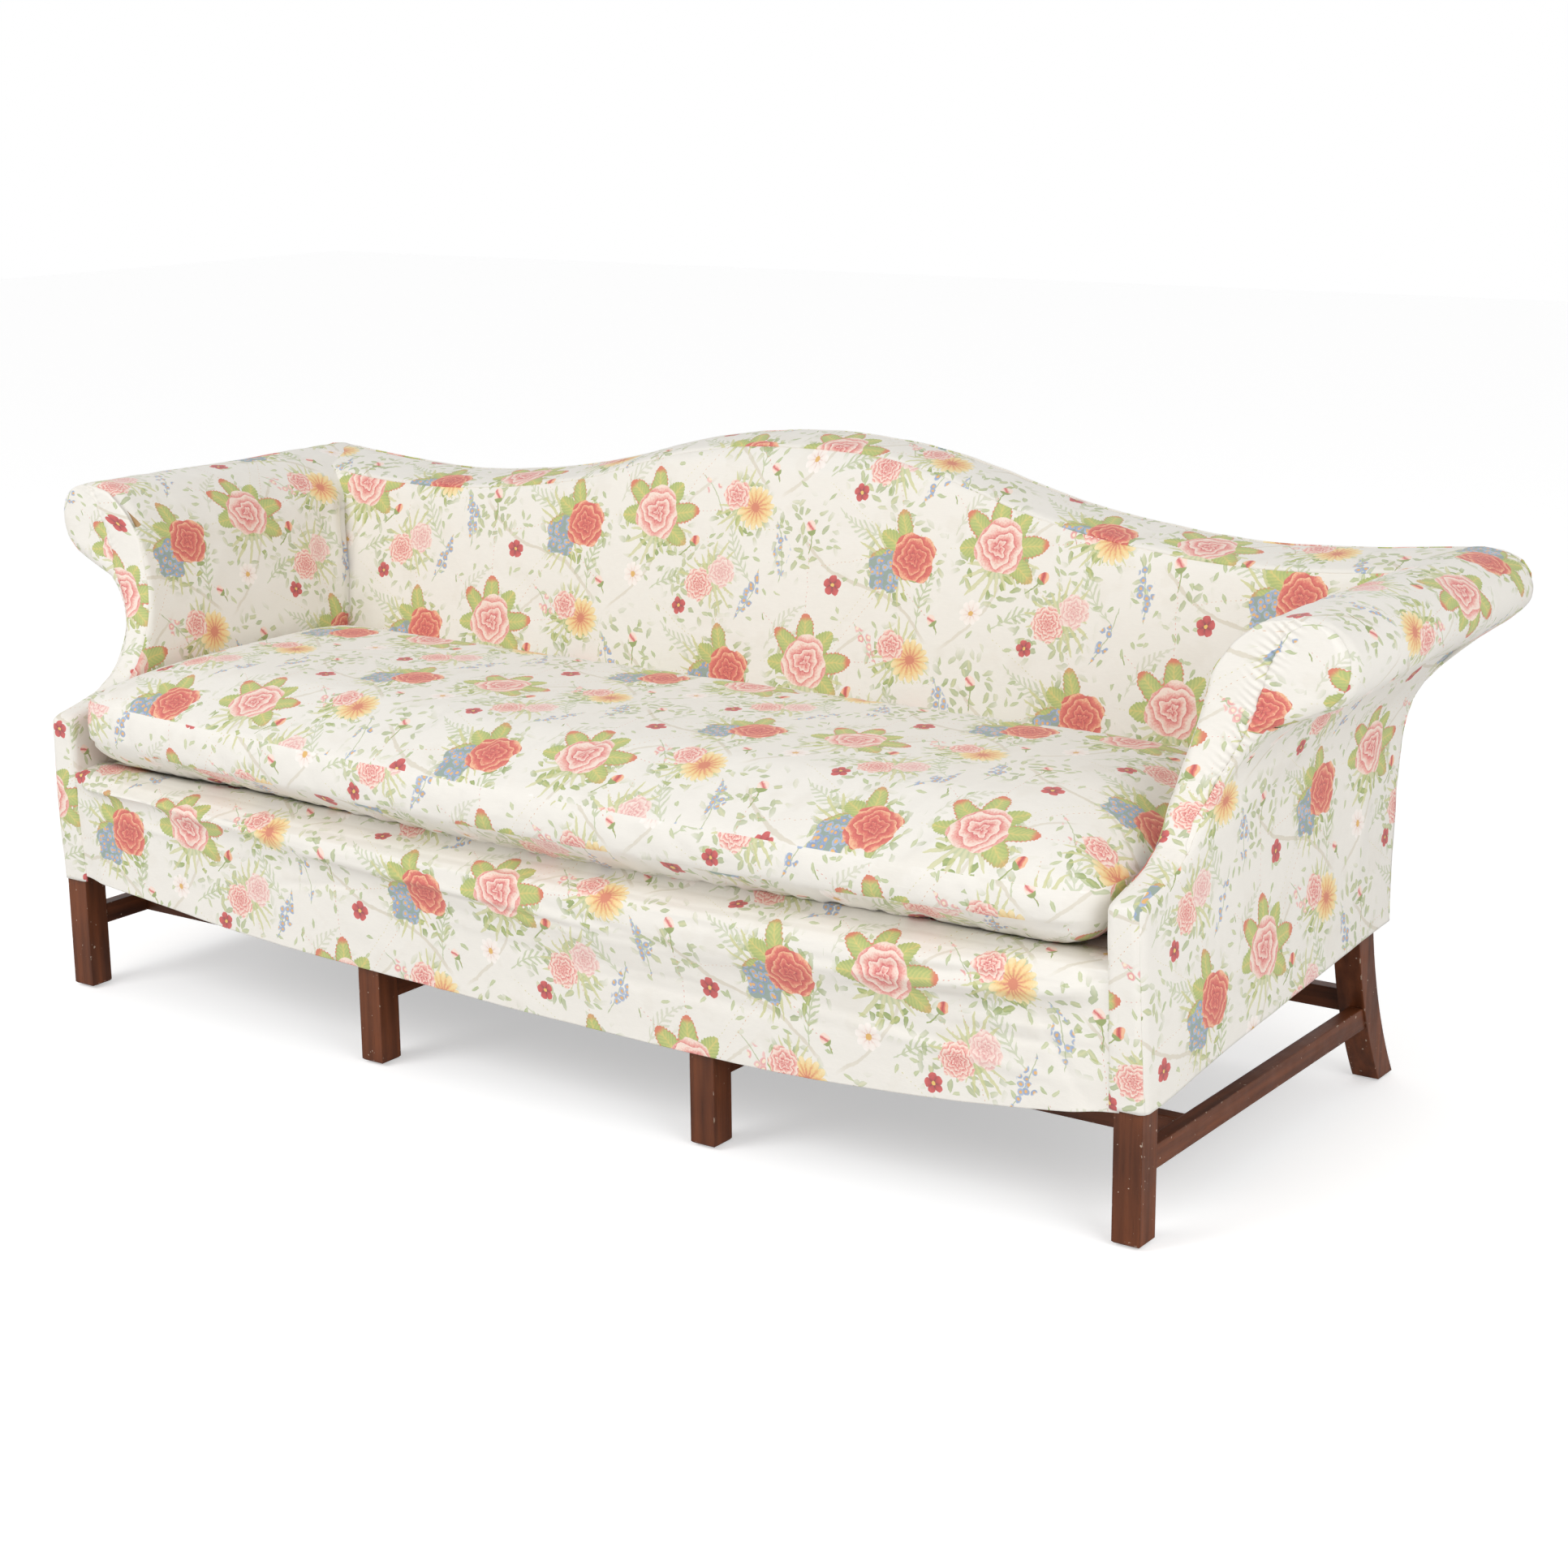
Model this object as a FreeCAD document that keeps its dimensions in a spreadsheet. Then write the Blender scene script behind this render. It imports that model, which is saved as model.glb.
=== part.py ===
import FreeCAD, Part

import math
import os
import re

import Sketcher
from FreeCAD import Vector

doc = FreeCAD.newDocument("Sofa")
sheet = doc.addObject("Spreadsheet::Sheet", "Sizes")

# Driving dimensions in millimetres. Depths (y) count back from the front corner legs' centre line,
# and leg_row is where that line lies from the middle of the sofa's depth.
SIZES = {
    "leg_row": -364.5,
    "leg_side": 42,
    "leg_x": 987,
    "mid_leg_x": 317.5,
    "mid_leg_forward": 17,
    "leg_chamfer": 2.5,
    "glide_radius": 10,
    "glide_thick": 4,
    "rail_bottom": 266,
    "rail_height": 80,
    "rail_thick": 34,
    "rail_inset": 2,
    "back_leg_deep": 50,
    "back_leg_top_y": 666,
    "back_leg_splay": 105,
    "back_rail_front": 642,
    "stretcher_bottom": 100,
    "stretcher_height": 33,
    "stretcher_thick": 22,
    "stretcher_inset": 3,
    "medial_y": 126,
    "rear_stretcher_lift": 17,
    "tenon_long": 16,
    "tenon_thick": 10,
    "tenon_shoulder": 6,
    "cloth": 2.5,
    "hem_front": 190,
    "hem_sag": 46,
    "hem_back": 262,
    "skirt_x": 1015,
    "skirt_x_back": 1022,
    "front_panel_width": 48,
    "deck_top": 383,
    "deck_seam_y": 12,
    "arm_inner_x": 956,
    "arm_inner_back_x": 940,
    "arm_outer_x": 1009,
    "arm_waist_z": 555,
    "arm_front_y": 40,
    "arm_ledge_z": 474,
    "arm_setback": 168,
    "arm_back_waist_x": 1014,
    "roll_top_x": 1108,
    "roll_top_z": 818,
    "roll_tip_x": 1190,
    "roll_under_z": 686,
    "roll_under_x": 1166,
    "roll_neck_x": 1080,
    "roll_back_under_z": 733,
    "roll_back_neck_z": 668,
    "arm_split_z": 692,
    "stump_deep": 60,
    "roll_tip_drop": 52,
    "arm_lean": 22,
    "arm_shoulder_drop": 150,
    "frame_cover": 12,
    "arm_rail_side": 40,
    "arm_rail_x": 1116,
    "arm_rail_z": 752,
    "arm_slat_height": 45,
    "arm_slat_thick": 20,
    "hump_height": 910,
    "hump_side_x": 380,
    "hump_side_drop": 58,
    "dip_x": 815,
    "dip_height": 797,
    "back_front_low": 604,
    "back_front_high": 694,
    "back_front_high_z": 872,
    "back_rear_low": 728,
    "back_rear_slope": 0.13,
    "top_band_slope": 0.14,
    "frame_thick": 34,
    "frame_slope": 0.207,
    "crest_high": 105,
    "upright_wide": 60,
    "tack_rail_z": 402,
    "tack_rail_high": 42,
    "web_wide": 50,
    "web_thick": 2,
    "web_gap": 66,
    "hessian_thick": 2,
    "roll_bulge": 74,
    "roll_bulge_end": 50,
    "bulge_low_z": 292,
    "bulge_low_end_z": 344,
    "apron_recess": 29,
    "apron_recess_end": 24,
    "cushion_side_gap": 2,
    "cushion_gap": 4,
    "cushion_rest": 0.3,
    "cushion_low_seam": 428,
    "cushion_top_seam": 488,
    "cushion_top": 541,
    "cushion_front": 78,
    "cushion_front_end": 44,
    "cushion_corner": 60,
    "cushion_cloth": 2,
    "zip_long": 1500,
    "zip_high": 8,
    "zip_proud": 1.5,
    "block_side": 24,
    "block_high": 60,
    "dust_thick": 1,
    "tape_wide": 9,
    "tape_high": 380,
    "tape_x": 985,
    "back_edge_inset": 6,
    "back_edge_drop": 26,
    "face_knee": 100,
    "cushion_rear_corner": 24,
    "web_end_margin": 4,
    "web_back_lap": 14,
    "web_front_margin": 20,
    "tape_lift": 12,
}
for row, (alias, value) in enumerate(SIZES.items(), start=1):
    sheet.set("A%d" % row, alias)
    sheet.set("B%d" % row, str(value))
    sheet.setAlias("B%d" % row, alias)
doc.recompute()


class Values:
    """The sheet's cells, read by alias."""

    def __getattr__(self, alias):
        return float(sheet.get(alias))


S = Values()
rail_top = S.rail_bottom + S.rail_height
ALIAS = re.compile(r"\b(%s)\b" % "|".join(SIZES))
RAIL_TOP = "(rail_bottom + rail_height)"


def bind(obj, **fields):
    for field, text in fields.items():
        obj.setExpression(field.replace("_", "."), ALIAS.sub(r"Sizes.\1", str(text)))
    return obj


def box(name, x0, x1, y0, y1, z0, z1):
    """A block between two corners; y is counted from the front corner legs' centre line."""
    solid = doc.addObject("Part::Box", name)
    bind(solid, Length="(%s) - (%s)" % (x1, x0), Width="(%s) - (%s)" % (y1, y0), Height="(%s) - (%s)" % (z1, z0))
    return bind(solid, Placement_Base_x=x0, Placement_Base_y="leg_row + (%s)" % y0, Placement_Base_z=z0)


def fuse(name, pieces):
    joined = doc.addObject("Part::MultiFuse", name)
    joined.Shapes = pieces
    return joined


def group(name, pieces):
    held = doc.addObject("Part::Compound", name)
    held.Links = pieces
    return held


def cut(name, base, tool):
    left = doc.addObject("Part::Cut", name)
    left.Base = base
    left.Tool = tool
    return left


def feature(name, shape):
    """A curved or padded form whose shape comes from the sheet's values."""
    held = doc.addObject("Part::Feature", name)
    held.Shape = shape
    return held


def mirrored(shape):
    return shape.mirror(Vector(0, 0, 0), Vector(1, 0, 0))


def point(x, y, z):
    return Vector(x, S.leg_row + y, z)


def outline(steps):
    """A closed face from corner points; a pair (middle, end) makes an arc through middle to end."""
    edges = []
    here = steps[0]
    for step in steps[1:]:
        if isinstance(step, tuple):
            edges.append(Part.Arc(here, step[0], step[1]).toShape())
            here = step[1]
        else:
            edges.append(Part.LineSegment(here, step).toShape())
            here = step
    if here.distanceToPoint(steps[0]) > 0.001:
        edges.append(Part.LineSegment(here, steps[0]).toShape())
    return Part.Wire(edges)


def prism(steps, way):
    return Part.Face(outline(steps)).extrude(way)


def block(x0, x1, y0, y1, z0, z1):
    return Part.makeBox(x1 - x0, y1 - y0, z1 - z0, point(x0, y0, z0))


# How far cutting blocks reach, how high they stand, and how far the camel outline is swept forward
REACH = 1400
OVER_TOP = S.hump_height + 60
SWEEP = 400
ARC_MIDDLE = 1 - math.sqrt(0.5)
PARTS = {}


def keep(name, obj):
    obj.Label = name
    PARTS[name] = obj
    return obj


SIDES = (("left", -1), ("right", 1))


# Front legs: four square posts, the corner pair up to the rail tops and the middle pair under the rail
def front_leg(name, x, y, top):
    body = doc.addObject("PartDesign::Body", name + "_body")
    plane = next(item for item in body.Origin.OriginFeatures if item.Role == "XY_Plane")
    sketch = body.newObject("Sketcher::SketchObject", name + "_sketch")
    sketch.AttachmentSupport = (plane, "")
    sketch.MapMode = "FlatFace"
    half = S.leg_side / 2
    corners = [Vector(-half, -half, 0), Vector(half, -half, 0), Vector(half, half, 0), Vector(-half, half, 0)]
    for first, second in zip(corners, corners[1:] + corners[:1]):
        sketch.addGeometry(Part.LineSegment(first, second))
    for edge in range(4):
        sketch.addConstraint(Sketcher.Constraint("Coincident", edge, 2, (edge + 1) % 4, 1))
    for edge in (0, 2):
        sketch.addConstraint(Sketcher.Constraint("Horizontal", edge))
    for edge in (1, 3):
        sketch.addConstraint(Sketcher.Constraint("Vertical", edge))
    sketch.addConstraint(Sketcher.Constraint("Symmetric", 0, 1, 1, 2, -1, 1))
    wide = sketch.addConstraint(Sketcher.Constraint("DistanceX", 0, 1, 0, 2, S.leg_side))
    deep = sketch.addConstraint(Sketcher.Constraint("DistanceY", 1, 1, 1, 2, S.leg_side))
    for constraint in (wide, deep):
        sketch.setExpression("Constraints[%d]" % constraint, "Sizes.leg_side")
    pad = body.newObject("PartDesign::Pad", name + "_pad")
    pad.Profile = sketch
    bind(pad, Length="%s - glide_thick" % top)
    doc.recompute()
    foot = [
        "Edge%d" % (number + 1)
        for number, edge in enumerate(pad.Shape.Edges)
        if edge.BoundBox.ZMax < 0.001
    ]
    chamfer = body.newObject("PartDesign::Chamfer", name + "_chamfer")
    chamfer.Base = (pad, foot)
    bind(chamfer, Size="leg_chamfer")
    return bind(body, Placement_Base_x=x, Placement_Base_y="leg_row + (%s)" % y, Placement_Base_z="glide_thick")


def kick(z):
    """The back legs' centre line: upright at the rail top, splayed back in an arc at the floor."""
    return S.back_leg_top_y + S.back_leg_splay * (1 - z / rail_top) ** 2


def back_leg(x, top):
    half = S.back_leg_deep / 2
    left = x - S.leg_side / 2
    low = S.glide_thick
    middle = (low + top) / 2

    def face(side, z):
        return point(left, kick(z) + side * half, z)

    edges = [
        Part.LineSegment(face(-1, top), face(1, top)),
        Part.Arc(face(1, top), face(1, middle), face(1, low)),
        Part.LineSegment(face(1, low), face(-1, low)),
        Part.Arc(face(-1, low), face(-1, middle), face(-1, top)),
    ]
    return Part.Face(Part.Wire([edge.toShape() for edge in edges])).extrude(Vector(S.leg_side, 0, 0))


def mirror_span(side, x0, x1):
    return (x0, x1) if side > 0 else ("-(%s)" % x1, "-(%s)" % x0)


def tongue(name, side, x0, x1, y0, y1, z0, z1):
    """A tenon: shorter than its rail by a shoulder above and below."""
    a, b = mirror_span(side, x0, x1)
    return box(name, a, b, y0, y1, "%s + tenon_shoulder" % z0, "%s - tenon_shoulder" % z1)


# Named places, as expressions of the sheet's cells
LEG_BACK = "leg_side / 2"
LEG_INNER = "leg_x - leg_side / 2"
OUTER = "leg_x + leg_side / 2"
KICK_AT_BAR = "back_leg_top_y + back_leg_splay * (1 - (stretcher_bottom + stretcher_height / 2) / RAIL_TOP)^2"
KICK_AT_BAR = KICK_AT_BAR.replace("RAIL_TOP", RAIL_TOP)
BAR_TOP = "(stretcher_bottom + stretcher_height)"

back_blanks = {}
front_blanks = {}
mortises = {}
for word, side in SIDES:
    for row, x, top, front_top, forward in (
        (word, S.leg_x, rail_top, RAIL_TOP, "0"),
        ("mid_" + word, S.mid_leg_x, S.rail_bottom, "rail_bottom", "-mid_leg_forward"),
    ):
        place = "%s%s" % ("-" if side < 0 else "", "leg_x" if row == word else "mid_leg_x")
        back_blanks[row] = feature("back_leg_%s_blank" % row, back_leg(side * x, top))
        front_blanks[row] = front_leg("front_leg_" + row, place, forward, front_top)
        mortises[row] = {"front": [], "back": []}

# Stretchers run front to back between each pair of legs, with a tenon in the front leg
for word, side in SIDES:
    for row, x1, forward in (
        (word, "(%s - stretcher_inset)" % OUTER, "0"),
        ("mid_" + word, "(mid_leg_x + stretcher_thick / 2)", "mid_leg_forward"),
    ):
        name = "stretcher_" + row
        front = "(%s - %s)" % (LEG_BACK, forward)
        x0 = "(%s - stretcher_thick)" % x1
        a, b = mirror_span(side, x0, x1)
        bar = box(name + "_bar", a, b, front, KICK_AT_BAR, "stretcher_bottom", BAR_TOP)
        run = cut(name + "_run", bar, back_blanks[row])
        middle = "(%s - stretcher_thick / 2)" % x1
        t0 = "(%s - tenon_thick / 2)" % middle
        t1 = "(%s + tenon_thick / 2)" % middle
        pin = tongue(name + "_tenon", side, t0, t1, front + " - tenon_long", front, "stretcher_bottom", BAR_TOP)
        keep(name, fuse(name, [run, pin]))
        mortises[row]["front"].append(pin)

# The medial stretcher ties the four near the front, the rear one ties the back legs a little higher
INNER_BAR = "(%s - stretcher_inset - stretcher_thick)" % OUTER
MEDIAL = ("medial_y", "medial_y + stretcher_thick", "stretcher_bottom", BAR_TOP)
MID_OUT = "(mid_leg_x + stretcher_thick / 2)"
MID_IN = "(mid_leg_x - stretcher_thick / 2)"
medial = [
    box("medial_left_run", "-" + INNER_BAR, "-" + MID_OUT, *MEDIAL),
    box("medial_middle_run", "-" + MID_IN, MID_IN, *MEDIAL),
    box("medial_right_run", MID_OUT, INNER_BAR, *MEDIAL),
]
keep("medial_stretcher", group("medial_stretcher", medial))
REAR_Y = "(%s - stretcher_thick / 2)" % KICK_AT_BAR
REAR = (
    REAR_Y,
    REAR_Y + " + stretcher_thick",
    "stretcher_bottom + rear_stretcher_lift",
    BAR_TOP + " + rear_stretcher_lift",
)
MID_LEG_IN = "(mid_leg_x - leg_side / 2)"
MID_LEG_OUT = "(mid_leg_x + leg_side / 2)"
rear = [
    box("rear_left_run", "-(%s)" % LEG_INNER, "-" + MID_LEG_OUT, *REAR),
    box("rear_middle_run", "-" + MID_LEG_IN, MID_LEG_IN, *REAR),
    box("rear_right_run", MID_LEG_OUT, LEG_INNER, *REAR),
]
keep("rear_stretcher", group("rear_stretcher", rear))

# Seat rails: the front one bows forward to the middle legs, cross rails run over the middle pairs of legs
mid_x = S.mid_leg_x + S.leg_side / 2
end_x = S.leg_x - S.leg_side / 2
end_front = S.rail_inset - S.leg_side / 2
mid_front = end_front - S.mid_leg_forward


def bowed_rail(low, high):
    front = [(-end_x, end_front), (-mid_x, mid_front), (mid_x, mid_front), (end_x, end_front)]
    rear_side = [(x, y + S.rail_thick) for x, y in reversed(front)]
    return prism([point(x, y, low) for x, y in front + rear_side], Vector(0, 0, high - low))


RAIL_Z = ("rail_bottom", RAIL_TOP)
front_bow = feature("front_rail_bow", bowed_rail(S.rail_bottom, rail_top))
front_pins = []
back_pins = []
RAIL_MID_Y = "(rail_inset - leg_side / 2 + rail_thick / 2)"
BACK_MID_Y = "(back_rail_front + rail_thick / 2)"
for word, side in SIDES:
    for kind, middle, pins in (("front", RAIL_MID_Y, front_pins), ("back", BACK_MID_Y, back_pins)):
        y0 = "(%s - tenon_thick / 2)" % middle
        y1 = "(%s + tenon_thick / 2)" % middle
        name = "%s_rail_tenon_%s" % (kind, word)
        pin = tongue(name, side, LEG_INNER, LEG_INNER + " + tenon_long", y0, y1, *RAIL_Z)
        pins.append(pin)
        mortises[word][kind].append(pin)
    name = "side_rail_" + word
    rail_x1 = "(%s - rail_inset)" % OUTER
    a, b = mirror_span(side, rail_x1 + " - rail_thick", rail_x1)
    bar = box(name + "_bar", a, b, LEG_BACK, "back_leg_top_y", *RAIL_Z)
    run = cut(name + "_run", bar, back_blanks[word])
    t0 = "(%s - rail_thick / 2 - tenon_thick / 2)" % rail_x1
    t1 = "(%s - rail_thick / 2 + tenon_thick / 2)" % rail_x1
    pin = tongue(name + "_tenon", side, t0, t1, LEG_BACK + " - tenon_long", LEG_BACK, *RAIL_Z)
    keep(name, fuse(name, [run, pin]))
    mortises[word]["front"].append(pin)
    cross_front = "(rail_inset - leg_side / 2 - mid_leg_forward + rail_thick)"
    a, b = mirror_span(side, "(mid_leg_x - rail_thick / 2)", "(mid_leg_x + rail_thick / 2)")
    keep("cross_rail_" + word, box("cross_rail_" + word, a, b, cross_front, "back_rail_front", *RAIL_Z))
keep("front_rail", fuse("front_rail", [front_bow] + front_pins))
back_bar = box(
    "back_rail_bar", "-(%s)" % LEG_INNER, LEG_INNER, "back_rail_front", "back_rail_front + rail_thick", *RAIL_Z
)
keep("back_rail", fuse("back_rail", [back_bar] + back_pins))

for row in mortises:
    for kind, blanks in (("front", front_blanks), ("back", back_blanks)):
        name = "%s_leg_%s" % (kind, row)
        tools = mortises[row][kind]
        if tools:
            hollow = fuse(name + "_mortises", tools) if len(tools) > 1 else tools[0]
            keep(name, cut(name, blanks[row], hollow))
        else:
            keep(name, blanks[row])

# Glue blocks stand in the corners of the rails, and a nail glide is under each leg
blocks = []
glides = []
for word, side in SIDES:
    for tag, x0, y0 in (
        ("front_end", "(%s - block_side)" % LEG_INNER, "(rail_inset - leg_side / 2 + rail_thick)"),
        ("front_out", "(mid_leg_x + rail_thick / 2)", "(rail_inset - leg_side / 2 + rail_thick)"),
        ("front_in", "(mid_leg_x - rail_thick / 2 - block_side)", cross_front),
        ("back_end", "(%s - block_side)" % LEG_INNER, "(back_rail_front - block_side)"),
        ("back_out", "(mid_leg_x + rail_thick / 2)", "(back_rail_front - block_side)"),
        ("back_in", "(mid_leg_x - rail_thick / 2 - block_side)", "(back_rail_front - block_side)"),
    ):
        a, b = mirror_span(side, x0, x0 + " + block_side")
        low = "rail_bottom + tenon_shoulder"
        name = "glue_block_%s_%s" % (tag, word)
        blocks.append(box(name, a, b, y0, y0 + " + block_side", low, low + " + block_high"))
    foot = "(back_leg_top_y + back_leg_splay * (1 - glide_thick / %s)^2)" % RAIL_TOP
    for tag, x, y in (
        ("front", "leg_x", "0"),
        ("front_mid", "mid_leg_x", "-mid_leg_forward"),
        ("back", "leg_x", foot),
        ("back_mid", "mid_leg_x", foot),
    ):
        disc = doc.addObject("Part::Cylinder", "glide_%s_%s" % (tag, word))
        bind(disc, Radius="glide_radius", Height="glide_thick")
        bind(disc, Placement_Base_x="%s(%s)" % ("-" if side < 0 else "", x), Placement_Base_y="leg_row + (%s)" % y)
        glides.append(disc)
keep("glue_blocks", group("glue_blocks", blocks))
keep("leg_glides", group("leg_glides", glides))

# Cross-section of the right arm at its front or back station: a leaning inner face that rolls over outward
STATION_FRONT = -80
STATION_BACK = 860


def arm_section(y, back, inset):
    inner = (S.arm_inner_back_x if back else S.arm_inner_x) + inset
    waist = (S.arm_back_waist_x if back else S.arm_outer_x) - inset
    skirt = (S.skirt_x_back if back else S.skirt_x) - inset
    top = S.roll_top_z - inset
    tip = S.roll_tip_x - inset
    under = (S.roll_back_under_z if back else S.roll_under_z) + inset
    neck_z = (S.roll_back_neck_z if back else S.roll_under_z) + inset
    under_x = S.roll_under_x - inset * 0.4
    neck_x = S.roll_neck_x - inset * 0.6
    shoulder_x = inner + S.arm_lean
    shoulder_z = top - S.arm_shoulder_drop
    radius = ((S.roll_top_x - shoulder_x) ** 2 + S.arm_shoulder_drop ** 2) / (2 * S.arm_shoulder_drop)
    turn = 0.5 * math.asin((S.roll_top_x - shoulder_x) / radius)
    tip_z = top - S.roll_tip_drop
    bend = ((tip - S.roll_top_x) ** 2 + S.roll_tip_drop ** 2) / (2 * S.roll_tip_drop)
    half_turn = 0.5 * math.asin((tip - S.roll_top_x) / bend)
    curl_x = waist + (neck_x - waist) * (0.36 if back else 0.42)
    curl_z = S.arm_waist_z + (neck_z - S.arm_waist_z) * 0.62

    def at(x, z):
        return point(x, y, z)

    return outline([
        at(inner, S.stretcher_bottom),
        at(inner, S.arm_waist_z),
        at(shoulder_x, shoulder_z),
        (at(S.roll_top_x - radius * math.sin(turn), top - radius * (1 - math.cos(turn))), at(S.roll_top_x, top)),
        (at(S.roll_top_x + bend * math.sin(half_turn), top - bend * (1 - math.cos(half_turn))), at(tip, tip_z)),
        (at(tip - 3, (tip_z + under) / 2), at(under_x, under)),
        at(neck_x, neck_z),
        (at(curl_x, curl_z), at(waist, S.arm_waist_z - 30)),
        at(skirt, S.stretcher_bottom),
    ])


def arm_loft(inset):
    ends = [arm_section(STATION_FRONT, False, inset), arm_section(STATION_BACK, True, inset)]
    return Part.makeLoft(ends, True, True)


def rear_line(z, inset):
    """Where the sloping back cover lies at a height, less an inset."""
    return S.back_rear_low + (z - S.hem_back) * S.back_rear_slope - inset


# Side outline of an arm: up from the hem, back along a ledge, then a sweep up to the front of the roll
def arm_side(inset, rear_inset, low):
    front = -S.arm_front_y + inset
    ledge = S.arm_ledge_z - inset * 0.6
    setback = S.arm_setback + inset
    high = OVER_TOP

    def at(y, z):
        return point(-REACH, y, z)

    return prism(
        [
            at(front + 14, low),
            at(front, ledge - 16),
            (at(front + 4, ledge - 4), at(front + 16, ledge)),
            at(setback - 138, ledge + 14),
            (at(setback - 76, ledge + 40), at(setback - 43, S.arm_waist_z + 4)),
            (at(setback - 14, S.arm_waist_z + 60), at(setback, S.roll_under_z + 9)),
            at(setback, high),
            at(rear_line(high, rear_inset), high),
            at(rear_line(low, rear_inset), low),
        ],
        Vector(2 * REACH, 0, 0),
    )


def above(z_front, z_back):
    """All the space over a line that runs from the front hem corner to the back one."""
    front = point(-REACH, -S.arm_front_y, z_front)
    rear = point(-REACH, S.back_rear_low, z_back)
    slope = (rear.z - front.z) / (rear.y - front.y)
    near = Vector(-REACH, front.y - REACH, front.z - slope * REACH)
    far = Vector(-REACH, rear.y + REACH, rear.z + slope * REACH)
    roof = REACH * 2
    steps = [near, far, Vector(-REACH, far.y, roof), Vector(-REACH, near.y, roof)]
    return prism(steps, Vector(2 * REACH, 0, 0))


back_edge_x = S.roll_top_x - S.back_edge_inset


# Front outline of the camel back, swept forward and a little downward so that its top band slopes
def camel(inset, low):
    start_y = rear_line(S.hump_height, 0) + 40
    rise = 40 * S.top_band_slope
    edge_x = back_edge_x

    def at(x, z):
        return point(x, start_y, z + rise - inset)

    shoulder = S.roll_top_z - 3
    side_z = S.hump_height - S.hump_side_drop
    steps = [at(-edge_x, low + inset), at(-edge_x, shoulder)]
    steps.append((at(-edge_x + 140, S.dip_height + 4), at(-S.dip_x, S.dip_height)))
    steps.append((at(-S.dip_x + 225, S.dip_height + 13), at(-S.hump_side_x, side_z)))
    steps.append((at(0, S.hump_height), at(S.hump_side_x, side_z)))
    steps.append((at(S.dip_x - 225, S.dip_height + 13), at(S.dip_x, S.dip_height)))
    steps.append((at(edge_x - 140, S.dip_height + 4), at(edge_x, shoulder)))
    steps.append(at(edge_x, low + inset))
    return prism(steps, Vector(0, -SWEEP, -SWEEP * S.top_band_slope))


def back_side(front_inset, rear_inset, low):
    high = OVER_TOP
    lean = (S.back_front_high - S.back_front_low) / (S.back_front_high_z - S.deck_top - S.face_knee)
    knee = S.deck_top + S.face_knee
    front = S.back_front_low + front_inset

    def at(y, z):
        return point(-REACH, y, z)

    top_y = front + (S.back_front_high_z - knee) * lean
    return prism(
        [
            at(front, low),
            at(front, knee),
            at(top_y, S.back_front_high_z),
            (at(top_y + 8, S.back_front_high_z + 18), at(top_y + 26, S.back_front_high_z + 32)),
            at(top_y + 30, high),
            at(rear_line(high, rear_inset), high),
            at(rear_line(low, rear_inset), low),
        ],
        Vector(2 * REACH, 0, 0),
    )


def frame_slab(thick):
    """The leaning plane of posts, uprights and crest, as thick as the frame's boards."""
    low = rail_top
    high = OVER_TOP
    rear_low = S.back_leg_top_y + S.back_leg_deep / 2
    rear_high = rear_low + (high - low) * S.frame_slope
    steps = [
        point(-REACH, rear_low - thick, low),
        point(-REACH, rear_low, low),
        point(-REACH, rear_high, high),
        point(-REACH, rear_high - thick, high),
    ]
    return prism(steps, Vector(2 * REACH, 0, 0))


# The back fills between the arms' middles; above the seat it widens over the arms' leaning tops
core_x = (S.arm_inner_back_x + S.arm_back_waist_x) / 2
core = prism(
    [
        point(-core_x, 0, 0),
        point(core_x, 0, 0),
        point(core_x, 0, S.roll_under_z),
        point(back_edge_x, 0, S.roll_top_z - S.back_edge_drop),
        point(back_edge_x, 0, OVER_TOP),
        point(-back_edge_x, 0, OVER_TOP),
        point(-back_edge_x, 0, S.roll_top_z - S.back_edge_drop),
        point(-core_x, 0, S.roll_under_z),
    ],
    Vector(0, REACH, 0),
)
back_low = rail_top + 2 * S.web_thick + S.hessian_thick
t = S.cloth
seam_y = S.deck_seam_y
back_outer = camel(0, back_low).common(back_side(0, t, back_low)).common(core)
back_behind_face = camel(0, back_low).common(back_side(t, t, back_low)).common(core)
back_under_band = camel(t, back_low).common(back_side(t, t, back_low)).common(core)

slab = frame_slab(S.frame_thick).common(back_side(t, t, 0))
arm_frame = arm_loft(S.frame_cover)
over_rail = block(-REACH, REACH, -REACH, REACH, rail_top, REACH)
post = arm_frame.common(slab).common(over_rail)
top_band = back_behind_face.cut(back_under_band)
post = post.cut(top_band)
posts = {"right": post, "left": mirrored(post)}
crest = slab.common(camel(t, back_low)).cut(camel(S.crest_high, -REACH))
crest = crest.common(core).cut(posts["left"]).cut(posts["right"])
upright_shapes = []
for side in (-1, 1):
    middle = side * S.mid_leg_x
    half = S.upright_wide / 2
    board = slab.common(block(middle - half, middle + half, 0, REACH, rail_top, REACH))
    upright_shapes.append(board.common(camel(S.crest_high, -REACH)))
tack = slab.common(block(-core_x, core_x, 0, REACH, S.tack_rail_z, S.tack_rail_z + S.tack_rail_high))
for board in upright_shapes + list(posts.values()):
    tack = tack.cut(board)
keep("crest_rail", feature("crest_rail", crest))
keep("back_tacking_rail", feature("back_tacking_rail", tack))
for (word, side), board in zip(SIDES, upright_shapes):
    keep("back_upright_" + word, feature("back_upright_" + word, board))

back_pad = back_under_band.cut(slab).cut(frame_slab(-REACH))
face_panel = back_outer.cut(back_behind_face)
face_panel = face_panel.common(block(-REACH, REACH, -REACH, REACH, S.deck_top, REACH))
keep("back_stuffing", feature("back_stuffing", back_pad))
keep("cover_inside_back", feature("cover_inside_back", face_panel))
keep("cover_top_band", feature("cover_top_band", top_band))

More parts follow.
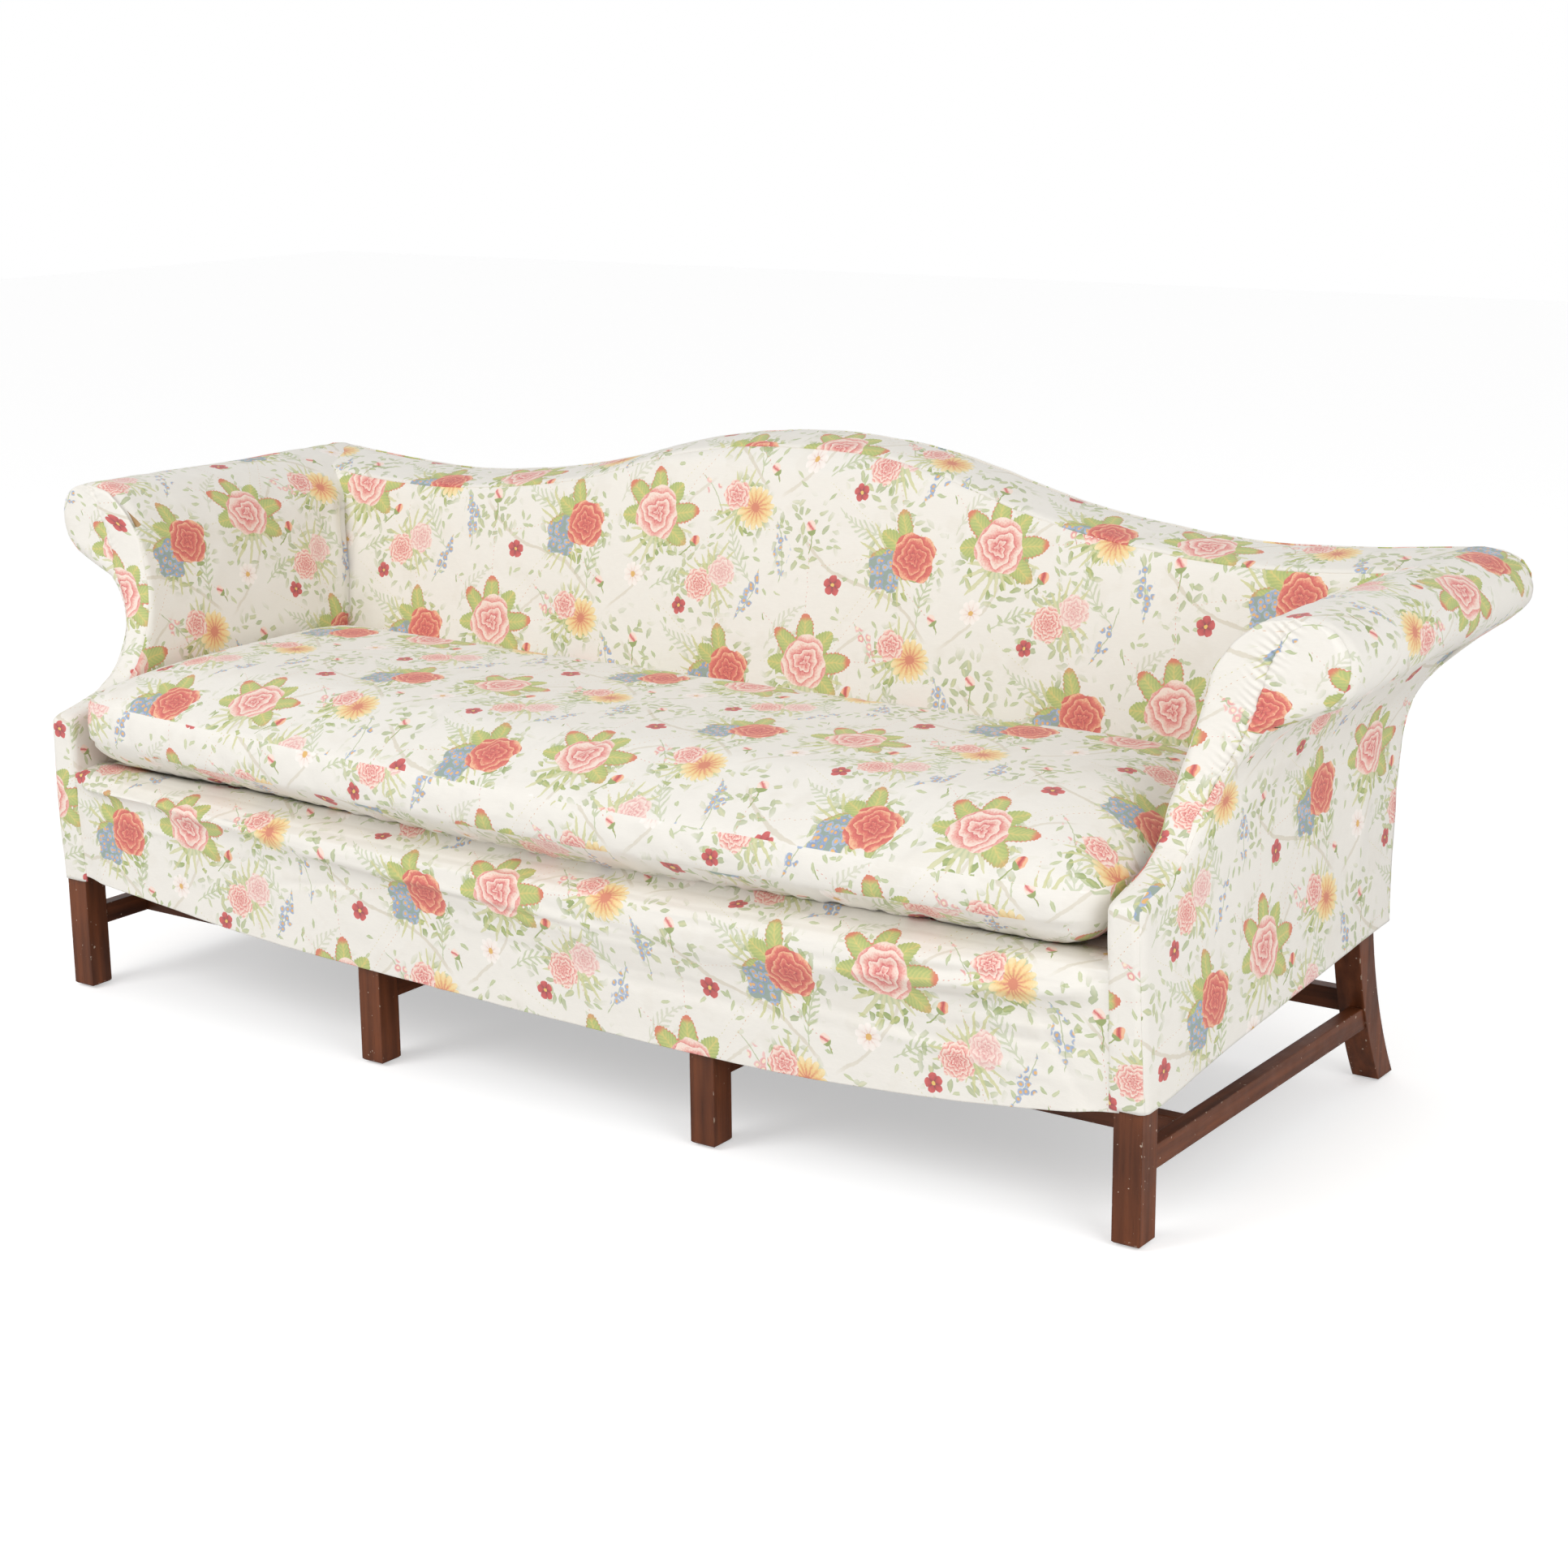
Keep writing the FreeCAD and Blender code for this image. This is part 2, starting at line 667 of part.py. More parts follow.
# Arms: an ogee stump and a roll rail inside the stuffing, under three panels of the loose cover
arm_outer = arm_loft(0)
arm_inner = arm_loft(t)
hem = above(S.hem_front, S.hem_back)
deck_x = S.skirt_x - S.front_panel_width
below_deck = block(-REACH, deck_x, -REACH, REACH, -REACH, S.deck_top)
front_zone = arm_side(t / 5, t, 0).cut(arm_side(t, -REACH, 0)).common(hem).cut(below_deck)
front_panel = arm_outer.common(front_zone)
shell = arm_outer.cut(arm_inner).common(arm_side(t, t, 0).common(hem)).cut(back_outer)
outer_zone = block((S.arm_inner_back_x + S.arm_outer_x) / 2, REACH, -REACH, REACH, -REACH, S.arm_split_z)
outer_panel = max(shell.common(outer_zone).Solids, key=lambda solid: solid.Volume)
inner_panel = shell.cut(outer_zone)
inner_panel = inner_panel.common(block(-REACH, REACH, -REACH, REACH, S.deck_top, REACH))
stump_zone = arm_side(S.frame_cover, t, 0).cut(arm_side(S.frame_cover + S.stump_deep, t, 0))
apron_zone = block(0, deck_x, -REACH, seam_y, 0, S.deck_top)
stump = arm_frame.common(stump_zone).common(over_rail).cut(slab).cut(apron_zone)
rail_half = S.arm_rail_side / 2
roll_rail = block(
    S.arm_rail_x - rail_half, S.arm_rail_x + rail_half, 0, S.back_rear_low + 40,
    S.arm_rail_z - rail_half, S.arm_rail_z + rail_half,
)
slat_x = S.arm_outer_x - S.arm_slat_thick
slat = block(
    slat_x - S.arm_slat_thick / 2, slat_x + S.arm_slat_thick / 2, 0, S.back_leg_top_y + 20,
    S.tack_rail_z, S.tack_rail_z + S.arm_slat_height,
)
ahead_of_stump = arm_side(S.frame_cover + 1, -REACH, 0)
roll_rail = roll_rail.common(ahead_of_stump).cut(stump).cut(posts["right"])
roll_rail = max(roll_rail.Solids, key=lambda solid: solid.Volume)
slat = slat.cut(stump).cut(posts["right"])
slat = max(slat.Solids, key=lambda solid: solid.Volume)
arm_pad = arm_inner.common(arm_side(t, t, 0)).common(over_rail).cut(back_outer)
for board in (stump, roll_rail, slat, posts["right"], crest):
    arm_pad = arm_pad.cut(board)
arm_pad = arm_pad.cut(apron_zone)
for word, side in SIDES:
    for label, shape in (
        ("arm_stump", stump),
        ("arm_roll_rail", roll_rail),
        ("arm_slat", slat),
        ("arm_stuffing", arm_pad),
        ("cover_arm_front", front_panel),
        ("cover_inside_arm", inner_panel),
        ("cover_outside_arm", outer_panel),
    ):
        name = "%s_%s" % (label, word)
        keep(name, feature(name, shape if side > 0 else mirrored(shape)))
    keep("back_post_" + word, feature("back_post_" + word, posts[word]))

# Outside back: one sheet over the arms' ends, the back and the skirt behind
rear_sheet = back_side(-REACH, 0, 0).cut(back_side(-REACH - 1, t, 0))
arm_end = arm_outer.common(rear_sheet)
middle_sheet = camel(0, 0).common(core).common(rear_sheet)
outside_back = middle_sheet.fuse(arm_end).fuse(mirrored(arm_end))
outside_back = outside_back.common(block(-REACH, REACH, -REACH, REACH, S.hem_back, REACH)).removeSplitter()
keep("cover_outside_back", feature("cover_outside_back", outside_back))


# Seat: webbing over the rails, hessian, stuffing with a roll along the front edge, and its cover
def arm_line(y):
    """The arms' inner faces at a depth."""
    share = (y - STATION_FRONT) / (STATION_BACK - STATION_FRONT)
    return S.arm_inner_x + (S.arm_inner_back_x - S.arm_inner_x) * share


web_front = end_front + S.web_end_margin
web_back = S.back_rail_front + S.web_back_lap
web_reach = S.arm_inner_back_x - S.web_end_margin
web_low = rail_top
strips = []
pitch = S.web_wide + S.web_gap
count = int((web_reach * 2 - S.web_wide) // pitch) + 1
first = -(count - 1) / 2 * pitch
for number in range(count):
    middle = first + number * pitch
    strips.append(
        block(middle - S.web_wide / 2, middle + S.web_wide / 2, web_front, web_back, web_low, web_low + S.web_thick)
    )
depth_count = int((web_back - web_front - S.web_wide) // pitch) + 1
for number in range(depth_count):
    low_y = web_front + S.web_front_margin + number * pitch
    top = web_low + S.web_thick
    strips.append(block(-web_reach, web_reach, low_y, low_y + S.web_wide, top, top + S.web_thick))
keep("seat_webbing", feature("seat_webbing", Part.Compound(strips)))
hessian_low = web_low + 2 * S.web_thick
hessian = block(-web_reach, web_reach, web_front, web_back, hessian_low, back_low)
keep("seat_hessian", feature("seat_hessian", hessian))

pad_top = S.deck_top - t
deck_steps = [(-arm_line(seam_y), seam_y), (arm_line(seam_y), seam_y)]
deck_steps += [(arm_line(S.back_front_low), S.back_front_low), (-arm_line(S.back_front_low), S.back_front_low)]
deck_pad = prism([point(x, y, back_low) for x, y in deck_steps], Vector(0, 0, pad_top - back_low))
deck_cover = prism([point(x, y, pad_top) for x, y in deck_steps], Vector(0, 0, t))
keep("deck_stuffing", feature("deck_stuffing", deck_pad))
keep("cover_deck", feature("cover_deck", deck_cover))


def apron_section(share, inset):
    """Outer line of the front apron at a share of the half width: a bulge, a tuck under it, then the skirt."""
    bow = 1 - share ** 2
    bulge = -(S.roll_bulge_end + (S.roll_bulge - S.roll_bulge_end) * bow) + inset
    tuck = bulge + S.apron_recess_end + (S.apron_recess - S.apron_recess_end) * bow
    tuck_z = S.bulge_low_end_z + (S.bulge_low_z - S.bulge_low_end_z) * bow
    hem_z = S.hem_front - S.hem_sag * bow
    hem_y = tuck + 2
    x = share * deck_x
    top = S.deck_top - inset

    def at(y, z):
        return point(x, y, z)

    return [at(seam_y, top), at(bulge + 24, top), at(bulge + 6, top - 8), at(bulge, (top + tuck_z) / 2),
            at(bulge + (tuck - bulge) * 0.38, tuck_z + (top - tuck_z) * 0.21), at(tuck, tuck_z), at(hem_y, hem_z)]


def apron_edges(p):
    return [
        Part.LineSegment(p[0], p[1]),
        Part.Arc(p[1], p[2], p[3]),
        Part.Arc(p[3], p[4], p[5]),
        Part.LineSegment(p[5], p[6]),
    ]


STATIONS = [-1, -0.6, -0.2, 0.2, 0.6, 1]


def apron_shell():
    wires = []
    for share in STATIONS:
        outer = apron_section(share, 0)
        inner = apron_section(share, t)
        edges = apron_edges(outer)
        edges.append(Part.LineSegment(outer[6], inner[6]))
        back_way = [
            Part.LineSegment(inner[6], inner[5]),
            Part.Arc(inner[5], inner[4], inner[3]),
            Part.Arc(inner[3], inner[2], inner[1]),
            Part.LineSegment(inner[1], inner[0]),
        ]
        edges += back_way
        edges.append(Part.LineSegment(inner[0], outer[0]))
        wires.append(Part.Wire([edge.toShape() for edge in edges]))
    return Part.makeLoft(wires, True, False)


def edge_roll():
    wires = []
    for share in STATIONS:
        p = apron_section(share, t)
        under = point(p[5].x, seam_y, p[5].z)
        edges = apron_edges(p)[:3] + [Part.LineSegment(p[5], under), Part.LineSegment(under, p[0])]
        wires.append(Part.Wire([edge.toShape() for edge in edges]))
    loft = Part.makeLoft(wires, True, False)
    rail_zone = bowed_rail(0, back_low)
    behind_rail = block(-REACH, REACH, mid_front + S.rail_thick / 2, REACH, 0, back_low)
    ends = block(-REACH, -end_x, end_front - S.rail_inset, REACH, 0, back_low)
    left = loft.cut(rail_zone).cut(behind_rail).cut(ends).cut(mirrored(ends))
    left = left.cut(stump).cut(mirrored(stump))
    return max(left.Solids, key=lambda solid: solid.Volume)


keep("cover_front_apron", feature("cover_front_apron", apron_shell()))
keep("seat_edge_roll", feature("seat_edge_roll", edge_roll()))


# Seat cushion: a boxed case with a bowed front, drawn in at its two seams and crowned above and below
def cushion_ring(z, side_in, front_in, back_in, corner):
    half = min(S.arm_inner_x, S.arm_inner_back_x) - S.cushion_side_gap - side_in
    rear = S.back_front_low - S.cushion_gap - back_in
    front_end = -S.cushion_front_end + front_in
    bow = S.cushion_front - S.cushion_front_end
    reach = half - corner
    corner_y = front_end - bow * (1 - (reach / half) ** 2) * 0.4
    small = ARC_MIDDLE * corner
    round_rear = S.cushion_rear_corner
    rear_small = ARC_MIDDLE * round_rear

    def at(x, y):
        return point(x, y, z)

    return outline([
        at(-reach, corner_y),
        (at(0, front_end - bow), at(reach, corner_y)),
        (at(half - small, corner_y + small), at(half, corner_y + corner)),
        at(half, rear - round_rear),
        (at(half - rear_small, rear - rear_small), at(half - round_rear, rear)),
        at(-half + round_rear, rear),
        (at(-half + rear_small, rear - rear_small), at(-half, rear - round_rear)),
        at(-half, corner_y + corner),
        (at(-half + small, corner_y + small), at(-reach, corner_y)),
    ])


def cushion(inset):
    floor = S.deck_top + S.cushion_rest
    low = S.cushion_low_seam
    high = S.cushion_top_seam
    top = S.cushion_top
    corner = S.cushion_corner
    crown = [
        (0, 0, 0, 0), (0.36, 8, 16, 5), (0.63, 26, 44, 16), (0.83, 60, 96, 40), (0.95, 122, 170, 88), (1, 222, 262, 170),
    ]
    belly = [(0, 0, 0, 0), (0.45, 10, 12, 8), (0.78, 30, 36, 24), (0.95, 66, 76, 54), (1, 120, 130, 100)]

    def rings(start, end, table):
        return [
            cushion_ring(start + (end - start) * share, side + inset, front + inset, back + inset, corner + side * 0.4)
            for share, side, front, back in table
        ]

    boxing = [
        cushion_ring(low, inset, inset, inset, corner),
        cushion_ring((low + high) / 2, inset - 3, inset - 5, inset, corner),
        cushion_ring(high, inset, inset, inset, corner),
    ]
    upper = Part.makeLoft(rings(high, top - inset, crown), True, False)
    middle = Part.makeLoft(boxing, True, False)
    lower = Part.makeLoft(rings(low, floor + inset, belly), True, False)
    return upper.fuse(middle).fuse(lower)


filling = cushion(S.cushion_cloth)
case = cushion(0).cut(filling)
keep("cushion_filling", feature("cushion_filling", filling))
keep("cushion_case", feature("cushion_case", case))
zip_z = (S.cushion_low_seam + S.cushion_top_seam) / 2
case_back = S.back_front_low - S.cushion_gap
zip_shape = block(
    -S.zip_long / 2, S.zip_long / 2, case_back, case_back + S.zip_proud, zip_z - S.zip_high / 2, zip_z + S.zip_high / 2
)
keep("cushion_zip", feature("cushion_zip", zip_shape))

# Under the seat a thin dust cover is tacked to the rails, and a tape closes the loose cover at the back
dust = box(
    "dust_cover", "-(%s)" % LEG_INNER, LEG_INNER, cross_front + " + tenon_shoulder", "back_rail_front + tenon_shoulder / 2",
    "rail_bottom - dust_thick", "rail_bottom",
)
keep("dust_cover", dust)
tape_low = S.hem_back + S.tape_lift
tape_zone = block(
    S.tape_x - S.tape_wide / 2, S.tape_x + S.tape_wide / 2, 0, REACH, tape_low, tape_low + S.tape_high
)
tape = back_side(-REACH, -S.dust_thick, 0).cut(back_side(-REACH - 1, 0, 0)).common(tape_zone)
keep("cover_back_closure", feature("cover_back_closure", tape))

doc.recompute()
for obj in doc.Objects:
    if "Invalid" in obj.State or "Error" in obj.State:
        raise RuntimeError("%s failed: %s" % (obj.Label, obj.State))
os.makedirs("parts", exist_ok=True)
for name, obj in PARTS.items():
    if obj.Shape.isNull() or not obj.Shape.isValid():
        raise RuntimeError("%s has no valid shape" % name)
    obj.Shape.exportStep("parts/%s.step" % name)
whole_box = Part.Compound([obj.Shape for obj in PARTS.values()]).BoundBox
print("%d nodes, box %s" % (len(PARTS), whole_box))
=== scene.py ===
import math

import bmesh
import bpy
import numpy as np
from mathutils import Matrix, Vector

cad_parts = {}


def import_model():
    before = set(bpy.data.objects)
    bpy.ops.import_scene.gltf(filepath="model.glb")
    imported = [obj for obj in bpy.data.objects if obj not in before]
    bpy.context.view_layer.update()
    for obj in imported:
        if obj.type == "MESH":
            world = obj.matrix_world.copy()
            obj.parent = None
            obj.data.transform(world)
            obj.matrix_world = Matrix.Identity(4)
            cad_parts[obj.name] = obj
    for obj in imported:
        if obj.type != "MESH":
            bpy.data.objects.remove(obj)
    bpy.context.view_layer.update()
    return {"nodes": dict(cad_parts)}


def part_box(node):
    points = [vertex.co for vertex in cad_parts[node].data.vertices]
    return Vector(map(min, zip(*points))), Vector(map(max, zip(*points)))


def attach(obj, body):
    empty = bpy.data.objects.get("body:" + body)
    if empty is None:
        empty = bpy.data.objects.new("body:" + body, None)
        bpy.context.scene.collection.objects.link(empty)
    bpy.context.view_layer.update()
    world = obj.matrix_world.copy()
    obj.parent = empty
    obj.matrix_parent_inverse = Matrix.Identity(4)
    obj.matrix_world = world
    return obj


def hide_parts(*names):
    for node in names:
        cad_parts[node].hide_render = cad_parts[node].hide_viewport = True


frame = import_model()
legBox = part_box("front_leg_right")
legRow = (legBox[0].y + legBox[1].y) / 2  # depths below count back from the front corner legs' middle
print("frame loaded, front legs at", round(legRow, 4))

# Camera

cameraValues = {
    "target": (0.4376, -0.3645, 0.5443),
    "distance": 3.9102,
    "azimuth": 34.88,
    "elevation": 14.25,
    "roll": -0.51,
    "lens": 65.68,
    "sensor": 36,
    "farEnd": 60,
}


def placeCamera(values):
    turn, rise, roll = (math.radians(values[name]) for name in ("azimuth", "elevation", "roll"))
    backward = Vector((math.sin(turn) * math.cos(rise), -math.cos(turn) * math.cos(rise), math.sin(rise)))
    right = Vector((math.cos(turn), math.sin(turn), 0))
    upward = backward.cross(right)
    rolledRight = right * math.cos(roll) + upward * math.sin(roll)
    rolledUp = upward * math.cos(roll) - right * math.sin(roll)
    camera = bpy.data.objects.new("camera", bpy.data.cameras.new("camera"))
    bpy.context.scene.collection.objects.link(camera)
    place = Vector(values["target"]) + backward * values["distance"]
    turned = Matrix((rolledRight, rolledUp, backward)).transposed()
    camera.matrix_world = Matrix.Translation(place) @ turned.to_4x4()
    camera.data.lens = values["lens"]
    camera.data.sensor_width = values["sensor"]
    camera.data.clip_end = values["farEnd"]
    bpy.context.scene.camera = camera


placeCamera(cameraValues)

# Material helpers: a signal is a node's output that ordinary sums can be written with

tree = None


class Signal:
    def __init__(self, socket):
        self.socket = socket

    def __add__(self, other):
        return calc("ADD", self, other)

    def __sub__(self, other):
        return calc("SUBTRACT", self, other)

    def __mul__(self, other):
        return calc("MULTIPLY", self, other)

    def __truediv__(self, other):
        return calc("DIVIDE", self, other)


def feed(node, inputs):
    for key, value in inputs.items():
        if isinstance(value, Signal):
            tree.links.new(value.socket, node.inputs[key])
        else:
            node.inputs[key].default_value = value


def addNode(kind, inputs, output=0, **settings):
    node = tree.nodes.new("ShaderNode" + kind)
    for name, value in settings.items():
        setattr(node, name, value)
    feed(node, inputs)
    return Signal(node.outputs[output])


def calc(operation, *values):
    return addNode("Math", dict(enumerate(values)), operation=operation)


# The first value times the second, plus the third
def fused(*values):
    return calc("MULTIPLY_ADD", *values)


def sine(value):
    return calc("SINE", value)


def absolute(value):
    return calc("ABSOLUTE", value)


def larger(first, second):
    return calc("MAXIMUM", first, second)


def fade(value, start, end):
    inputs = {"Value": value, "From Min": start, "From Max": end}
    return addNode("MapRange", inputs, "Result", interpolation_type="SMOOTHSTEP")


def linear(colour):
    shares = [channel / 255 for channel in colour]
    return tuple(s / 12.92 if s <= 0.04045 else ((s + 0.055) / 1.055) ** 2.4 for s in shares) + (1,)


# One colour over another, by an amount; a colour is a signal, or its red, green and blue out of 255
def layer(amount, under, over):
    under, over = (linear(one) if isinstance(one, tuple) else one for one in (under, over))
    return addNode("Mix", {0: amount, 6: under, 7: over}, 2, data_type="RGBA")


def tones(value, *stops):
    node = tree.nodes.new("ShaderNodeValToRGB")
    ramp = node.color_ramp
    while len(ramp.elements) < len(stops):
        ramp.elements.new(0.5)
    for element, (place, *colour) in zip(ramp.elements, stops):
        element.position = place
        element.color = linear(colour)
    feed(node, {0: value})
    return Signal(node.outputs[0])


def noise(vector, scale, detail=2.0, output=0):
    return addNode("TexNoise", {"Vector": vector, "Scale": scale, "Detail": detail}, output)


def stretched(vector, scale):
    return addNode("Mapping", {"Vector": vector, "Scale": scale})


def part(vector, axis):
    return addNode("SeparateXYZ", {0: vector}, axis)


def bump(height, strength, distance, **under):
    return addNode("Bump", {"Height": height, "Strength": strength, "Distance": distance, **under})


def startMaterial(name):
    global tree
    material = bpy.data.materials.new(name)
    material.use_nodes = True
    tree = material.node_tree
    return material, tree.nodes["Principled BSDF"]


# The printed cotton: a repeat of generic garden flowers, drawn from sums on the cloth's own metres

printValues = {
    "repeatWide": 0.330,
    "repeatHigh": 0.430,
    "ground": (240, 236, 228),
    "blotch": (226, 219, 206),
    "blotchShare": 0.22,
    "wander": (28, 0.008),
    "ruffle": (150, 0.0034),
    "brush": 340,
    "fading": 0.12,
    "pink": ((0.08, 196, 70, 76), (0.22, 222, 108, 108), (0.40, 238, 164, 152), (0.66, 250, 226, 212)),
    "red": ((0.05, 166, 40, 44), (0.28, 206, 66, 62), (0.54, 224, 104, 86), (0.76, 246, 186, 142)),
    "blush": ((0.0, 206, 116, 118), (0.25, 232, 168, 164), (0.55, 246, 214, 204), (0.9, 252, 240, 230)),
    "sun": ((0.15, 212, 108, 92), (0.40, 232, 160, 104), (0.62, 242, 206, 134), (0.95, 249, 232, 182)),
    "cherry": ((0.2, 120, 24, 34), (0.5, 186, 40, 50), (0.95, 214, 74, 72)),
    "daisy": ((0.2, 232, 200, 190), (0.5, 248, 236, 228), (0.95, 252, 246, 240)),
    "leaf": ((0.0, 196, 198, 120), (0.4, 160, 176, 100), (0.95, 128, 152, 84)),
    "paleLeaf": ((0.0, 214, 216, 180), (0.5, 190, 200, 156), (0.95, 170, 186, 136)),
    "broadLeaf": ((0.10, 214, 200, 112), (0.30, 186, 194, 104), (0.55, 162, 180, 96), (0.9, 130, 154, 84)),
    "bluePetals": ((0.1, 104, 130, 176), (0.45, 142, 166, 204), (0.9, 190, 204, 226)),
    "pinkPetals": ((0.1, 206, 92, 100), (0.45, 232, 150, 150), (0.9, 249, 222, 214)),
    "rib": (222, 200, 110),
    "ripe": (218, 112, 78),
    "haloTip": (206, 206, 140),
    "stalk": (168, 182, 130),
    "budStalk": (150, 166, 92),
    "budCup": (142, 160, 84),
    "twigBark": (205, 194, 168),
    # cells to a metre, petal colours, heart and ground of each kind of floret
    "florets": {
        "blue": (88, "bluePetals", (236, 178, 96), (140, 160, 150)),
        "pink": (74, "pinkPetals", (250, 232, 206), (232, 168, 160)),
    },
    # where loose leaves gather: place, radius and strength
    "patches": [
        (0.092, 0.150, 0.088, 1), (0.255, 0.345, 0.090, 1), (0.262, 0.190, 0.070, 1),
        (0.200, 0.060, 0.085, 0.7), (0.060, 0.370, 0.080, 0.7),
    ],
    # cells to a metre, length, half width, colours and the share of cells that hold a leaf
    "strayLeaves": (62, 0.0095, 0.0032, "paleLeaf", 0.15),
    "denseLeaves": (66, 0.0125, 0.0044, "leaf", 0.50),
    # motifs under the leaves and over them: kind, then what that kind's function takes (places in the repeat)
    "underMotifs": [
        ("twig", 0.180, 0.305, 62, 0.012, 0.0036, 0.55),
        ("twig", 0.106, 0.120, -38, 0.010, 0.0030, 0.45),
        ("frond", 0.262, 0.118, 28, 0.062, 0.018, (182, 194, 150), 0.62),
        ("frond", 0.040, 0.232, -42, 0.056, 0.016, (196, 200, 168), 0.55),
        ("frond", 0.176, 0.392, 72, 0.060, 0.017, (182, 194, 150), 0.6),
        ("frond", 0.296, 0.300, -15, 0.052, 0.016, (170, 186, 128), 0.7),
        ("frond", 0.140, 0.070, -70, 0.052, 0.015, (170, 186, 128), 0.65),
    ],
    "motifs": [
        ("spray", "blue", 0.022, 0.345, 12, 0.052, 0.019, 0.62),
        ("spray", "blue", 0.300, 0.052, -24, 0.050, 0.018, 0.62),
        ("spray", "pink", 0.205, 0.215, 40, 0.040, 0.016, 0.55),
        ("halo", 0.238, 0.345, 0.030, 0.078, 23, 0.3, (150, 172, 96), 0.85),
        ("halo", 0.268, 0.200, 0.028, 0.062, 21, 1.4, (158, 178, 104), 0.8),
        ("halo", 0.218, 0.076, 0.026, 0.066, 19, 2.2, (172, 188, 122), 0.8),
        ("halo", 0.092, 0.150, 0.030, 0.076, 17, 0.9, (160, 178, 104), 0.7),
        ("leafFan", 0.093, 0.168, 0.078, 6, 74, 262, 1.0),
        ("leafFan", 0.262, 0.362, 0.066, 4, 170, 170, 0.6),
        ("cluster", "blue", 0.225, 0.330, 0.033, 5, 0.7),
        ("bloom", 0.092, 0.172, 0.045, 3.3, 3, 0.6, "pink"),
        ("bloom", 0.272, 0.356, 0.041, 3.7, 4, 1.9, "red"),
        ("bloom", 0.196, 0.062, 0.029, 4.4, 7, 1.4, "pink"),
        ("bloom", 0.238, 0.086, 0.027, 3.6, 6, 0.2, "blush"),
        ("open", 0.288, 0.196, 0.036, 15, 0.4, "sun", (214, 120, 84), 0.0085),
        ("bloom", 0.250, 0.214, 0.026, 3.2, 5, 1.1, "pink"),
        ("open", 0.128, 0.300, 0.017, 5, 0.9, "cherry", (238, 196, 92), 0.0032),
        ("open", 0.160, 0.022, 0.015, 5, 0.1, "cherry", (238, 196, 92), 0.0030),
        ("open", 0.058, 0.066, 0.021, 9, 0.5, "daisy", (226, 176, 84), 0.0050),
        ("bud", 0.072, 0.388, 16, 0.0125, "pink"),
        ("bud", 0.176, 0.132, -34, 0.0115, "red"),
        ("bud", 0.318, 0.262, 38, 0.0105, "pink"),
    ],
    "threads": 9800.0,
    "shine": {"Roughness": 0.62, "Sheen Weight": 0.12, "Sheen Roughness": 0.4, "Specular IOR Level": 0.35},
}


